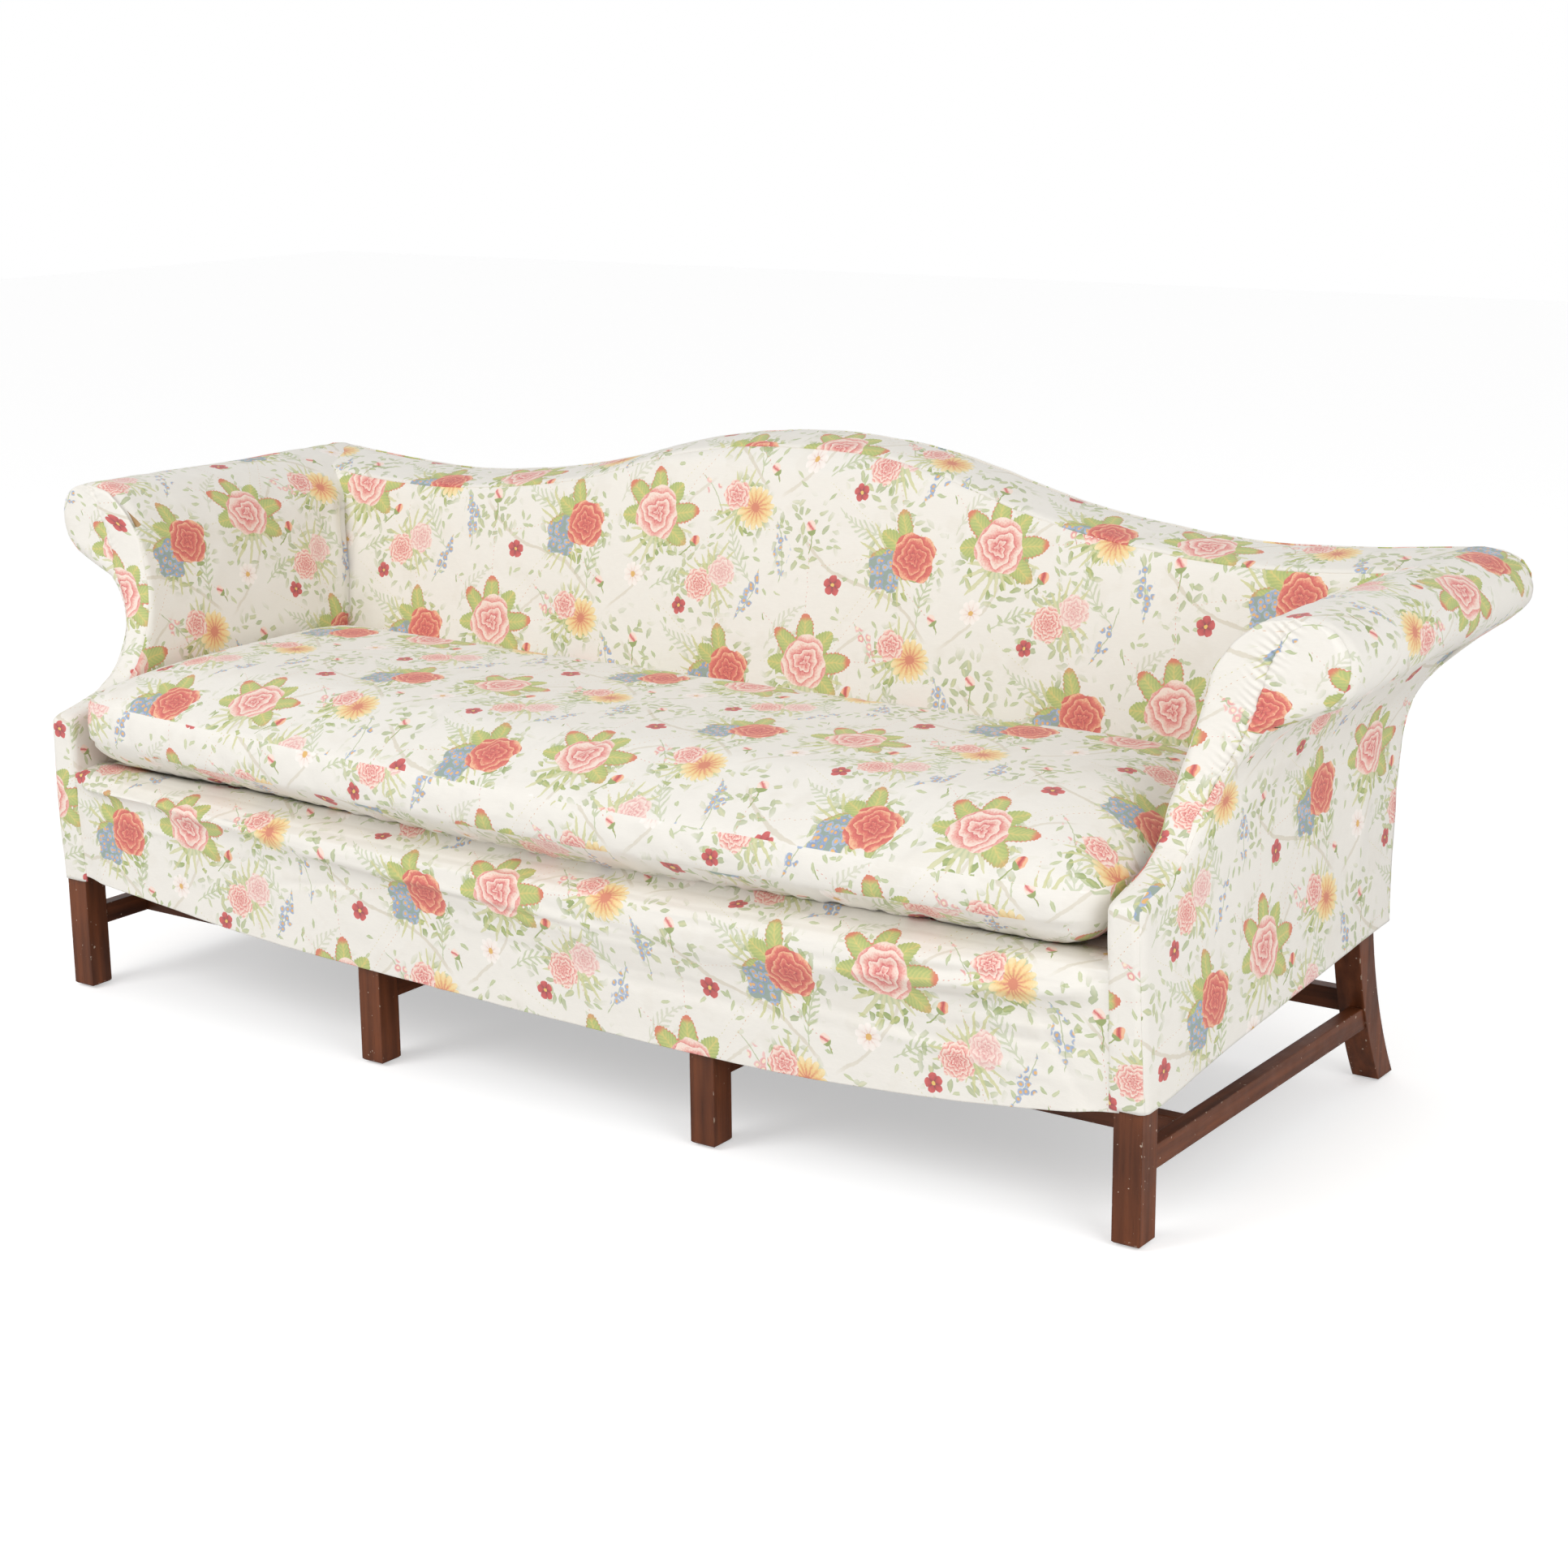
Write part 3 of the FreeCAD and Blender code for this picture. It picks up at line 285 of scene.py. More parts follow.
def printedCotton(values):
    material, shader = startMaterial("printedCotton")
    plain = addNode("UVMap", {}, uv_map="cloth")

    def shaken(vector, scale, reach):
        shade = noise(plain, scale, 1.0, 1)
        rough = addNode("VectorMath", {0: shade, 1: (0.5, 0.5, 0.5)}, operation="SUBTRACT")
        return addNode("VectorMath", {0: rough, 1: (reach, reach, 0), 2: vector}, operation="MULTIPLY_ADD")

    wavy = shaken(shaken(plain, *values["wander"]), *values["ruffle"])
    across, looseAlong = part(wavy, 0), part(wavy, 1)
    brush = noise(plain, values["brush"])
    wide, high = values["repeatWide"], values["repeatHigh"]
    # every second column of the repeat is set half a repeat higher
    along = fused(calc("FLOOR", across / wide), high / 2, looseAlong)

    def spot(x, y, turn=0.0):
        dx = calc("WRAP", across - x, wide / 2, -wide / 2)
        dy = calc("WRAP", along - y, high / 2, -high / 2)
        if not turn:
            return dx, dy
        c, s = math.cos(math.radians(turn)), math.sin(math.radians(turn))
        return fused(dx, c, dy * s), fused(dy, c, dx * -s)

    def polar(x, y):
        dx, dy = spot(x, y)
        return calc("SQRT", fused(dx, dx, dy * dy)), calc("ARCTAN2", dy, dx)

    # A many-petalled flower: broken rings that darken towards the heart of each petal
    def bloom(under, x, y, radius, rings, lobes, phase, stops):
        reach, angle = polar(x, y)
        share = reach / radius
        wave = sine(fused(angle, float(lobes), share * 3.4 + phase))
        ripple = sine(fused(angle, float(lobes * 2 + 1), share * -5.0 + phase * 1.7))
        ring = fused(calc("POWER", share, 0.85), rings, angle * (1 / (2 * math.pi)))
        petal = calc("FRACT", fused(ripple, 0.13, fused(wave, 0.26, ring)))
        tone = fused(petal, 0.50, fused(share, 0.26, brush * 0.5 - 0.17))
        edge = fused(wave, radius * 0.07, fused(ripple, radius * 0.03, radius * 0.97))
        return layer(fade(edge - reach, 0.0, 0.0012), under, tones(tone, *values[stops]))

    # Broad leaves set like a fan, each a pointed oval with a light middle rib, side veins and a coloured tip
    def leafFan(under, x, y, length, count, aim, spread, rim):
        reach, angle = polar(x, y)
        half = math.radians(spread) / 2
        turned = calc("WRAP", angle - math.radians(aim), math.pi, -math.pi)
        pitch = math.radians(spread) / count
        place = turned / pitch + (count % 2) * 0.5
        local = (calc("WRAP", place, 1.0, 0.0) - 0.5) * pitch
        number = sine(calc("FLOOR", place) * 2.3 + 0.4)
        lengthwise = reach * calc("COSINE", local)
        sideways = absolute(reach * sine(local))
        share = lengthwise / fused(number, length * 0.10, length)
        fromMiddle = (share - 0.55) / 0.47
        oval = larger(fused(fromMiddle, fromMiddle * -1.0, 1.0), 0.0)
        vein = sine(fused(lengthwise, 820.0, sideways * -900.0))
        gap = fused(vein, 0.0009, calc("SQRT", oval) * (length * 0.225)) - sideways
        inside = fade(gap, 0.0, 0.0009) * fade(absolute(turned), half + 0.02, half - 0.02)
        tone = fused(sideways, 16.0 / (length / 0.08), fused(vein, 0.10, brush * 0.30 + 0.10))
        green = layer(fade(sideways, 0.0018, 0.0004) * 0.6, tones(tone, *values["broadLeaf"]), values["rib"])
        ripe = larger(fade(share, 0.84, 0.97), fade(gap, 0.0030, 0.0012)) * fade(number, -0.5, 0.2) * rim
        return layer(inside, under, layer(ripe, green, values["ripe"]))

    # Narrow pointed blades that stand out all round a flower
    def halo(under, x, y, inner, outer, count, phase, colour, amount):
        reach, angle = polar(x, y)
        comb = absolute(sine(fused(angle, count / 2.0, reach * 16.0 + phase)))
        uneven = sine(fused(angle, 3.0, phase * 2.0)) * 0.30 + 0.75
        tip = fused(calc("POWER", comb, 5.0) * uneven, outer - inner, inner)
        return layer(fade(tip - reach, 0.0, 0.002) * amount, under, layer(comb, colour, values["haloTip"]))

    # An open flower with single petals round a button
    def openFlower(under, x, y, radius, count, phase, stops, heart, button):
        reach, angle = polar(x, y)
        lobe = absolute(sine(fused(angle, count / 2.0, phase)))
        edge = fused(calc("POWER", lobe, 0.5), radius * 0.34, radius * 0.66)
        tone = fused(reach / edge, 0.62, fused(lobe, 0.40, brush * 0.36 - 0.24))
        flower = layer(fade(edge - reach, 0.0, 0.001), under, tones(tone, *values[stops]))
        return layer(fade(reach, button, button * 0.8), flower, heart)

    # Cells scattered over the cloth: the pattern's outputs and three random numbers for each cell
    def cells(scale, output, **inputs):
        inputs.update(Vector=wavy, Scale=scale)
        found = addNode("TexVoronoi", inputs, output, voronoi_dimensions="2D")
        colour = Signal(found.socket.node.outputs["Color"])
        pick = addNode("SeparateColor", {0: colour}).socket.node
        return found, [Signal(socket) for socket in pick.outputs]

    # Small florets crowd together: one cell pattern serves every cluster and spray of its colour
    def floretPaint(scale, petals, heart, ground):
        near, (chance, *_) = cells(scale, "Distance", Randomness=0.75)
        paint = tones(fused(near, 0.9, chance * 0.4), *values[petals])
        covered = fade(near, 0.50, 0.42)
        return layer(covered, ground, layer(fade(near, 0.25, 0.17), paint, heart)), covered, chance

    florets = {name: floretPaint(*row) for name, row in values["florets"].items()}

    def cluster(under, kind, x, y, radius, lobes, phase):
        reach, angle = polar(x, y)
        edge = fused(sine(fused(angle, float(lobes), phase)), radius * 0.14, radius)
        return layer(fade(edge - reach, 0.0, 0.0015), under, florets[kind][0])

    # Strength of a shape that narrows towards both ends, and of a stem that stops there
    def tapered(dy, length, girth):
        return fused(absolute(dy), -girth / length, girth)

    def stemLength(dy, length, share):
        return fade(absolute(dy), length, length * share)

    def spray(under, kind, x, y, turn, length, girth, amount):
        paint, covered, chance = florets[kind]
        dx, dy = spot(x, y, turn)
        slim = absolute(fused(dy * dy, 3.0, dx))
        shown = fade(tapered(dy, length, girth) - slim, 0.0, 0.003) * covered
        shown = shown * fade(chance, 1.0 - amount, 1.05 - amount)
        stalk = fade(slim, 0.0012, 0.0005) * stemLength(dy, length, 0.9) * 0.8
        return layer(shown, layer(stalk, under, values["stalk"]), paint)

    # A feathery frond: slanting leaflets both sides of a stem
    def frond(under, x, y, turn, length, girth, colour, amount):
        dx, dy = spot(x, y, turn)
        side = absolute(fused(dy * dy, -4.0, dx))
        leaflet = sine((dy - side * 1.1) * (2 * math.pi / 0.0125))
        blades = fade(leaflet, 0.05, 0.4) * fade(tapered(dy, length, girth) - side, 0.0, 0.002)
        stem = fade(side, 0.0013, 0.0006) * stemLength(dy, length, 0.94)
        return layer(larger(blades, stem) * amount, under, colour)

    # A bud on its stalk, with a green cup under it
    def bud(under, x, y, turn, size, stops):
        dx, dy = spot(x, y, turn)
        stalk = fade(absolute(fused(dy * dy, 5.0, dx)), 0.0014, 0.0007)
        stalk = stalk * fade(dy, 0.0, -0.001) * fade(dy, -3.4 * size, -3.2 * size)
        oval = calc("SQRT", fused(dy, dy, dx * dx * 1.9))
        tone = absolute(sine(fused(dx, 2.0 / size, dy * (1.2 / size)))) * 0.8 + brush * 0.2
        painted = layer(stalk, under, values["budStalk"])
        painted = layer(fade(oval, size, size * 0.93), painted, tones(tone, *values[stops]))
        cup = fade(oval, size * 1.06, size) * fade(dy, -size * 0.35, -size * 0.45)
        return layer(cup, painted, values["budCup"])

    # Loose leaves: every cell holds one small leaf, turned at random, and a mask says where they show
    def looseLeaves(under, mask, scale, length, girth, stops, amount):
        middle, (spin, lucky, shade) = cells(scale, "Position")
        turn = spin * (2 * math.pi)
        dx = across - part(middle, 0)
        dy = looseAlong - part(middle, 1)
        c, s = calc("COSINE", turn), sine(turn)
        lengthwise = fused(dx, c, dy * s)
        sideways = absolute(fused(dy, c, dx * s * -1.0))
        body = fused(lengthwise * lengthwise, -girth / length ** 2, girth)
        shown = fade(body - sideways, 0.0, 0.0006) * fade(lucky, 1 - amount, 1.02 - amount) * mask
        return layer(shown, under, tones(fused(sideways, 0.55 / girth, shade * 0.5), *values[stops]))

    def patch(x, y, radius, strength):
        reach = polar(x, y)[0]
        return fade(reach, radius, radius * 0.55) * strength

    def twig(under, x, y, turn, swing, width, amount):
        dx, dy = spot(x, y, turn)
        line = absolute(fused(sine(dy * 24.0), swing, dx))
        bark = fade(line, width, width * 0.6) * fade(absolute(dy), 0.16, 0.13)
        return layer(bark * amount, under, values["twigBark"])

    painters = {
        "twig": twig, "frond": frond, "spray": spray, "halo": halo, "leafFan": leafFan, "cluster": cluster,
        "bloom": bloom, "open": openFlower, "bud": bud,
    }
    cloudy = fade(noise(plain, 15, 3.0), 0.56, 0.66) * values["blotchShare"]
    cloth = layer(cloudy, values["ground"], values["blotch"])
    for kind, *row in values["underMotifs"]:
        cloth = painters[kind](cloth, *row)
    mask = patch(*values["patches"][0])
    for row in values["patches"][1:]:
        mask = larger(mask, patch(*row))
    cloth = looseLeaves(cloth, 1.0, *values["strayLeaves"])
    cloth = looseLeaves(cloth, mask, *values["denseLeaves"])
    for kind, *row in values["motifs"]:
        cloth = painters[kind](cloth, *row)
    cloth = layer(values["fading"], cloth, values["ground"])

    # Threads of the weave and slubs tint the cloth, and a fine crinkle lifts it
    weave = sine(part(plain, 0) * values["threads"]) * sine(part(plain, 1) * values["threads"])
    slub = noise(stretched(plain, (60, 900, 1)), 1.0)
    tint = fused(slub, 0.05, fused(weave, 0.015, 0.965))
    toned = addNode("VectorMath", {0: cloth, "Scale": tint}, operation="SCALE")
    crinkle = bump(noise(plain, 46, 3.0), 0.30, 0.004)
    relief = bump(fused(slub, 0.5, weave * 0.4), 0.25, 0.0004, Normal=crinkle)
    feed(shader, {"Base Color": toned, "Normal": relief, **values["shine"]})
    return material


cotton = printedCotton(printValues)
print("cotton print made with", len(cotton.node_tree.nodes), "nodes")

# Woods, webbing and other hidden cloths

woodValues = {
    "mahogany": {"dark": (66, 32, 15), "light": (126, 69, 38), "chip": (214, 194, 174), "wear": 0.8},
    "beech": {"dark": (172, 132, 88), "light": (208, 172, 124), "chip": (222, 196, 156), "wear": 0.2},
    "grain": {"Upright": 2, "Deep": 1, "Long": 0},
    "across": 70.0,
    "along": 3.5,
    "softEdge": 0.0035,
}
# dark and light colour, thread pitch in metres and roughness
weaveValues = {
    "juteWebbing": ((120, 92, 56), (188, 160, 112), 0.004, 0.9),
    "hessianCloth": ((112, 86, 54), (178, 148, 104), 0.003, 0.9),
    "dustCloth": ((18, 18, 18), (46, 45, 44), 0.0012, 0.9),
    "zipTape": ((196, 190, 174), (226, 221, 208), 0.0012, 0.7),
}
finishValues = {
    "mahoganyUpright": ("front_leg", "back_leg"),
    "mahoganyDeep": ("stretcher",),
    "mahoganyLong": ("medial", "rear_stretcher"),
    "beechLong": ("front_rail", "back_rail", "crest_rail", "back_tacking"),
    "beechDeep": ("side_rail", "cross_rail", "arm_roll", "arm_slat"),
    "beechUpright": ("glue_blocks", "back_upright", "back_post", "arm_stump"),
    "juteWebbing": ("seat_webbing",),
    "hessianCloth": ("seat_hessian",),
    "dustCloth": ("dust_cover",),
    "zipTape": ("cushion_zip", "cover_back_closure"),
    "glideSteel": ("leg_glides",),
}


def objectPlace():
    return addNode("TexCoord", {}, "Object")


def wood(name, values, grain):
    material, shader = startMaterial(name)
    place = objectPlace()
    scales = [woodValues["along"] if axis == grain else woodValues["across"] for axis in range(3)]
    streaks = noise(stretched(place, scales), 1.0, 4.0)
    pores = noise(stretched(place, [value * 9 for value in scales]), 1.0)
    tone = fused(streaks, 0.75, noise(place, 9.0) * 0.35 - 0.05)
    paint = tones(tone, (0.28, *values["dark"]), (0.72, *values["light"]))
    paint = layer(fade(pores, 0.60, 0.70) * 0.45, paint, values["dark"])
    # edges show where the softened surface turns away from the flat one; they are rubbed and chipped there
    soft = addNode("Bevel", {"Radius": woodValues["softEdge"]}, samples=4)
    flat = addNode("NewGeometry", {}, "Normal")
    edge = fade(addNode("VectorMath", {0: soft, 1: flat}, "Value", operation="DOT_PRODUCT"), 0.985, 0.90)
    rubbed = noise(place, 42.0, 3.0)
    worn = edge * fade(rubbed, 0.46, 0.62) * values["wear"]
    flake = edge * fade(noise(place, 95.0), 0.635, 0.66) * values["wear"]
    scuff = fade(noise(place, 160.0, 1.0), 0.755, 0.775) * values["wear"]
    paint = layer(worn * 0.55, paint, values["light"])
    paint = layer(larger(flake, scuff * 0.8), paint, values["chip"])
    feed(shader, {
        "Base Color": paint,
        "Roughness": fused(rubbed, 0.25, 0.34),
        "Specular IOR Level": 0.32,
        "Normal": bump(fused(pores, 0.6, streaks * 0.4), 0.25, 0.0006, Normal=soft),
    })
    return material


def wovenCloth(name, dark, light, pitch, rough):
    material, shader = startMaterial(name)
    place = objectPlace()
    warp, weft, rise = (sine(part(place, axis) * (2 * math.pi / pitch)) for axis in range(3))
    weave = larger(warp * weft, larger(warp * rise, weft * rise))
    tone = fused(weave, 0.28, noise(place, 160.0, 3.0))
    paint = tones(tone, (0.25, *dark), (0.85, *light))
    feed(shader, {"Base Color": paint, "Roughness": rough, "Normal": bump(tone, 0.5, 0.0006)})
    return material


def brushedSteel(name):
    material, shader = startMaterial(name)
    rub = noise(stretched(objectPlace(), (900, 60, 60)), 1.0)
    paint = tones(rub, (0.3, 120, 114, 108), (0.8, 176, 170, 160))
    relief = bump(rub, 0.2, 0.0003)
    feed(shader, {"Base Color": paint, "Metallic": 1.0, "Roughness": fused(rub, 0.3, 0.3), "Normal": relief})
    return material


def dressNodes():
    materials = {"glideSteel": brushedSteel("glideSteel")}
    for kind in ("mahogany", "beech"):
        for word, grain in woodValues["grain"].items():
            materials[kind + word] = wood(kind + word, woodValues[kind], grain)
    for name, row in weaveValues.items():
        materials[name] = wovenCloth(name, *row)
    for name, node in frame["nodes"].items():
        for finish, starts in finishValues.items():
            if name.startswith(starts):
                node.data.materials.clear()
                node.data.materials.append(materials[finish])


dressNodes()
print("carried-over parts dressed")

# Shape helpers: a flat grid is made, then its points are moved onto the cloth's surface

clothThickness = 0.0018


def hashed(i, j, k, seed):
    mixed = np.sin(i * 127.1 + j * 311.7 + k * 74.7 + seed * 53.3) * 43758.5453
    return mixed - np.floor(mixed)


def softNoise(points, scale, seed):
    scaled = points * scale
    cell = np.floor(scaled)
    within = scaled - cell
    within = within * within * (3 - 2 * within)
    total = np.zeros(len(points))
    for dx, dy, dz in np.ndindex(2, 2, 2):
        weight = np.ones(len(points))
        for axis, step in enumerate((dx, dy, dz)):
            weight *= within[:, axis] if step else 1 - within[:, axis]
        total += weight * hashed(cell[:, 0] + dx, cell[:, 1] + dy, cell[:, 2] + dz, seed)
    return total * 2 - 1


# Ridges and tucks: each runs between two points (width, depth, height), with a half width and a rise
def foldHeight(points, folds, side=1, row=legRow):
    height = np.zeros(len(points))
    for start, end, width, rise in folds:
        a, b = (np.array(place) * [side, 1, 1] + [0, row, 0] for place in (start, end))
        run = b - a
        share = np.clip((points - a) @ run / (run @ run), 0, 1)
        away = np.linalg.norm(points - a - share[:, None] * run, axis=1)
        arch = 0.35 + 0.65 * np.sin(np.pi * np.clip(share, 0.02, 0.98))
        height += rise * np.exp(-((away / width) ** 2)) * arch
    return height


# Slow swells and small ripples, the same in every panel so that their shared seams stay closed
def wander(places, values):
    return softNoise(places, 6.5, 12) * values["swell"] + softNoise(places, 31.0, 19) * values["ripple"]


def setPoints(mesh, places):
    mesh.vertices.foreach_set("co", np.ascontiguousarray(places, np.float32).ravel())
    mesh.update()


def meshPoints(mesh):
    places = np.zeros(len(mesh.vertices) * 3, np.float32)
    mesh.vertices.foreach_get("co", places)
    return places.reshape(-1, 3).astype(float)


def meshNormals(mesh):
    normals = np.zeros(len(mesh.vertices) * 3, np.float32)
    mesh.vertex_normals.foreach_get("vector", normals)
    return normals.reshape(-1, 3).astype(float)


def cornerPoints(mesh):
    corners = np.zeros(len(mesh.loops), np.int32)
    mesh.loops.foreach_get("vertex_index", corners)
    return corners


# Takes a bmesh over into a mesh and gives back its points
def closeForm(form, name):
    flat = np.array([vertex.co[:] for vertex in form.verts])
    mesh = bpy.data.meshes.new(name)
    form.to_mesh(mesh)
    form.free()
    return mesh, flat


# Lays the print on a finished mesh, by each face corner's place on the cloth, and makes its object
def clothPiece(mesh, pattern):
    clothMap = mesh.uv_layers.new(name="cloth")
    clothMap.uv.foreach_set("vector", np.ascontiguousarray(pattern, np.float32).ravel())
    mesh.materials.append(cotton)
    mesh.shade_smooth()
    piece = bpy.data.objects.new(mesh.name, mesh)
    bpy.context.scene.collection.objects.link(piece)
    return piece


# rolled: the print's place at the far edge, where the print follows the cloth's true length
def gridPiece(name, counts, shape, outward, relief, rolled=None):
    grid = bmesh.new()
    bmesh.ops.create_grid(grid, x_segments=counts[0], y_segments=counts[1], size=0.5)
    mesh, flat = closeForm(grid, name)
    places, cloth = shape(flat[:, 0] + 0.5, flat[:, 1] + 0.5)
    if rolled is not None:
        rows = places.reshape(counts[1] + 1, counts[0] + 1, 3)
        steps = np.linalg.norm(np.diff(rows, axis=0), axis=2)
        length = np.concatenate([np.zeros((1, counts[0] + 1)), np.cumsum(steps, axis=0)])
        cloth[:, 1] = (length - length[-1:]).ravel() + rolled
    setPoints(mesh, places)
    if (meshNormals(mesh) @ outward).sum() < 0:
        mesh.flip_normals()
    setPoints(mesh, places + meshNormals(mesh) * relief(places)[:, None])
    piece = clothPiece(mesh, cloth[cornerPoints(mesh)])
    wall = piece.modifiers.new("thickness", "SOLIDIFY")
    wall.thickness = clothThickness
    wall.offset = -1
    return piece


# Evens a line out, keeping its ends
def smoothed(dense, passes):
    for _ in range(passes):
        dense[1:-1] = dense[1:-1] * 0.5 + (dense[:-2] + dense[2:]) * 0.25
    return dense


def resampled(steps, line, even):
    return np.column_stack([np.interp(even, steps, column) for column in np.array(line, float).T])


# A corner line resampled evenly and rounded
def softened(points, passes, count=400):
    steps = np.concatenate(([0], np.cumsum(np.linalg.norm(np.diff(np.array(points, float), axis=0), axis=1))))
    even = np.linspace(0, steps[-1], count)
    return even / steps[-1], smoothed(resampled(steps, points, even), passes)


def unit(rows):
    return rows / np.linalg.norm(rows, axis=1)[:, None]


# How far a rounded edge draws in at a distance from its corner
def inset(distance, radius):
    left = np.clip(radius - distance, 0, radius)
    return radius - np.sqrt(np.maximum(radius * radius - left * left, 0))


cornerShare = 0.86 * (1 - math.sqrt(0.5))  # a rounded corner is shared near 45 degrees, with a little overlap


def finishPiece(piece, restsOn, *nodes):
    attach(piece, "frame")
    if nodes:
        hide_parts(*nodes)


def world(x, y, z):
    return np.column_stack([x, y + legRow, z])


# Lines of the sofa that several pieces share (depth, height or width, height, in metres)

armLines = {
    "side": [
        (-0.024, 0.150), (-0.026, 0.190), (-0.034, 0.330), (-0.040, 0.458), (-0.037, 0.468), (-0.024, 0.474),
        (0.003, 0.480), (0.030, 0.487), (0.062, 0.497), (0.092, 0.514), (0.112, 0.536), (0.128, 0.563),
        (0.143, 0.590), (0.155, 0.622), (0.163, 0.655), (0.168, 0.700), (0.168, 0.840),
    ],
    "insideFront": [
        (0.956, 0.366), (0.956, 0.470), (0.956, 0.555), (0.964, 0.610), (0.978, 0.668), (0.9943, 0.7303),
        (1.0236, 0.7753), (1.0631, 0.8101), (1.108, 0.818), (1.148, 0.812), (1.176, 0.793), (1.190, 0.766),
        (1.189, 0.736), (1.183, 0.708), (1.167, 0.690), (1.128, 0.676), (1.080, 0.664),
    ],
    "insideBack": [
        (0.940, 0.366), (0.940, 0.470), (0.940, 0.555), (0.948, 0.610), (0.962, 0.668), (0.9815, 0.745),
        (1.0141, 0.7838), (1.058, 0.8092), (1.108, 0.818), (1.148, 0.813), (1.176, 0.797), (1.190, 0.771),
        (1.188, 0.752), (1.180, 0.741), (1.168, 0.731), (1.126, 0.699), (1.080, 0.668),
    ],
    "outsideFront": [
        (1.080, 0.664), (1.060, 0.648), (1.040, 0.624), (1.024, 0.595), (1.013, 0.562), (1.009, 0.525),
        (1.009, 0.458), (1.010, 0.400), (1.012, 0.300), (1.015, 0.180),
    ],
    "outsideBack": [
        (1.080, 0.668), (1.061, 0.645), (1.040, 0.618), (1.026, 0.594), (1.018, 0.560), (1.014, 0.525),
        (1.014, 0.458), (1.0155, 0.400), (1.018, 0.320), (1.022, 0.240),
    ],
    "faceInner": [
        (0.956, 0.150), (0.956, 0.300), (0.956, 0.400), (0.956, 0.455), (0.956, 0.474), (0.956, 0.488),
        (0.956, 0.514), (0.956, 0.540), (0.957, 0.565), (0.962, 0.600), (0.968, 0.630), (0.978, 0.668),
        (0.992, 0.715), (1.012, 0.755), (1.040, 0.784), (1.070, 0.806), (1.092, 0.814), (1.108, 0.8175),
        (1.124, 0.8165),
    ],
    "faceOuter": [
        (1.0155, 0.150), (1.012, 0.300), (1.010, 0.400), (1.009, 0.455), (1.009, 0.474), (1.009, 0.488),
        (1.009, 0.514), (1.010, 0.540), (1.014, 0.565), (1.026, 0.600), (1.044, 0.630), (1.072, 0.659),
        (1.106, 0.671), (1.142, 0.680), (1.172, 0.694), (1.186, 0.720), (1.190, 0.752), (1.184, 0.784),
        (1.156, 0.809),
    ],
    # from here on height comes first, then a width or a radius; the hem has depth first
    "bandWide": [
        (0.150, 0.070), (0.480, 0.070), (0.520, 0.046), (0.545, 0.045), (0.600, 0.060), (0.660, 0.072),
        (0.715, 0.076), (0.755, 0.070), (0.784, 0.056), (0.806, 0.040), (0.8165, 0.020),
    ],
    "roundInner": [
        (0.150, 0.012), (0.430, 0.014), (0.520, 0.016), (0.700, 0.012), (0.745, 0.006), (0.800, 0.006),
        (0.818, 0.012),
    ],
    "roundOuter": [(0.150, 0.014), (0.500, 0.016), (0.600, 0.026), (0.690, 0.034), (0.818, 0.030)],
    "scrollEdge": [(0.458, 1.009), (0.540, 1.010), (0.600, 1.023), (0.640, 1.043), (0.700, 1.075)],
    "sideHem": [
        (-0.030, 0.1895), (0.014, 0.192), (0.176, 0.211), (0.324, 0.226), (0.427, 0.236), (0.554, 0.248),
        (0.689, 0.258), (0.741, 0.262),
    ],
}
sideLine = softened(armLines["side"], 14, 700)[1]
sideTangent = unit(np.gradient(sideLine, axis=0))
sideHeights = np.maximum.accumulate(sideLine[:, 1])


def readOff(name, place):
    return np.interp(place, *np.array(armLines[name]).T)


def frontDepth(height):
    return np.interp(height, sideHeights, sideLine[:, 0])


# Inward normal of the arm's side outline (depth, height)
def frontNormal(height):
    across = np.interp(height, sideHeights, sideTangent[:, 1])
    rising = np.interp(height, sideHeights, -sideTangent[:, 0])
    size = np.hypot(across, rising)
    return across / size, rising / size


def outlineDistance(depth, height):
    nearest = np.full(len(depth), np.inf)
    for lineDepth, lineHeight in sideLine[::2]:
        nearest = np.minimum(nearest, np.hypot(depth - lineDepth, height - lineHeight))
    return nearest


def rearDepth(height):
    return 0.728 + (height - 0.262) * 0.13


def backFace(height):
    return 0.604 + np.maximum(height - 0.483, 0) * 0.2314 + 0.014 * np.clip((height - 0.86) / 0.03, 0, 1)


# Share of the way from the arm's front section to its back one
def backShare(depth):
    return np.clip((depth + 0.080) / 0.94, 0, 1)


camelPoints = [
    (0, 0.910), (0.08, 0.9075), (0.16, 0.901), (0.25, 0.887), (0.32, 0.8705), (0.39, 0.850), (0.46, 0.833),
    (0.52, 0.8215), (0.59, 0.811), (0.69, 0.801), (0.76, 0.7975), (0.815, 0.797), (0.88, 0.7985),
    (0.945, 0.8025), (1.02, 0.809), (1.08, 0.815), (1.15, 0.818),
]
camelLine = softened([(-x, z) for x, z in reversed(camelPoints[1:])] + camelPoints, 30, 900)[1]


def camelHeight(x):
    return np.interp(x, camelLine[:, 0], camelLine[:, 1])


# A skin's front and back outline, each with its direction beside it
def sectionLine(kind):
    lines = [softened(armLines[kind + end], 8) for end in ("Front", "Back")]
    return lines[0][0], *(np.hstack([line, unit(np.gradient(line, axis=0))]) for _, line in lines)


# Width, height and inward normal of a skin at a share of its outline's length and a depth
def sectionAt(lines, share, depth):
    mix = backShare(depth)
    front, back = (resampled(lines[0], line, share).T for line in lines[1:])
    x, z, tx, tz = front * (1 - mix) + back * mix
    size = np.hypot(tx, tz)
    return x, z, tz / size, -tx / size


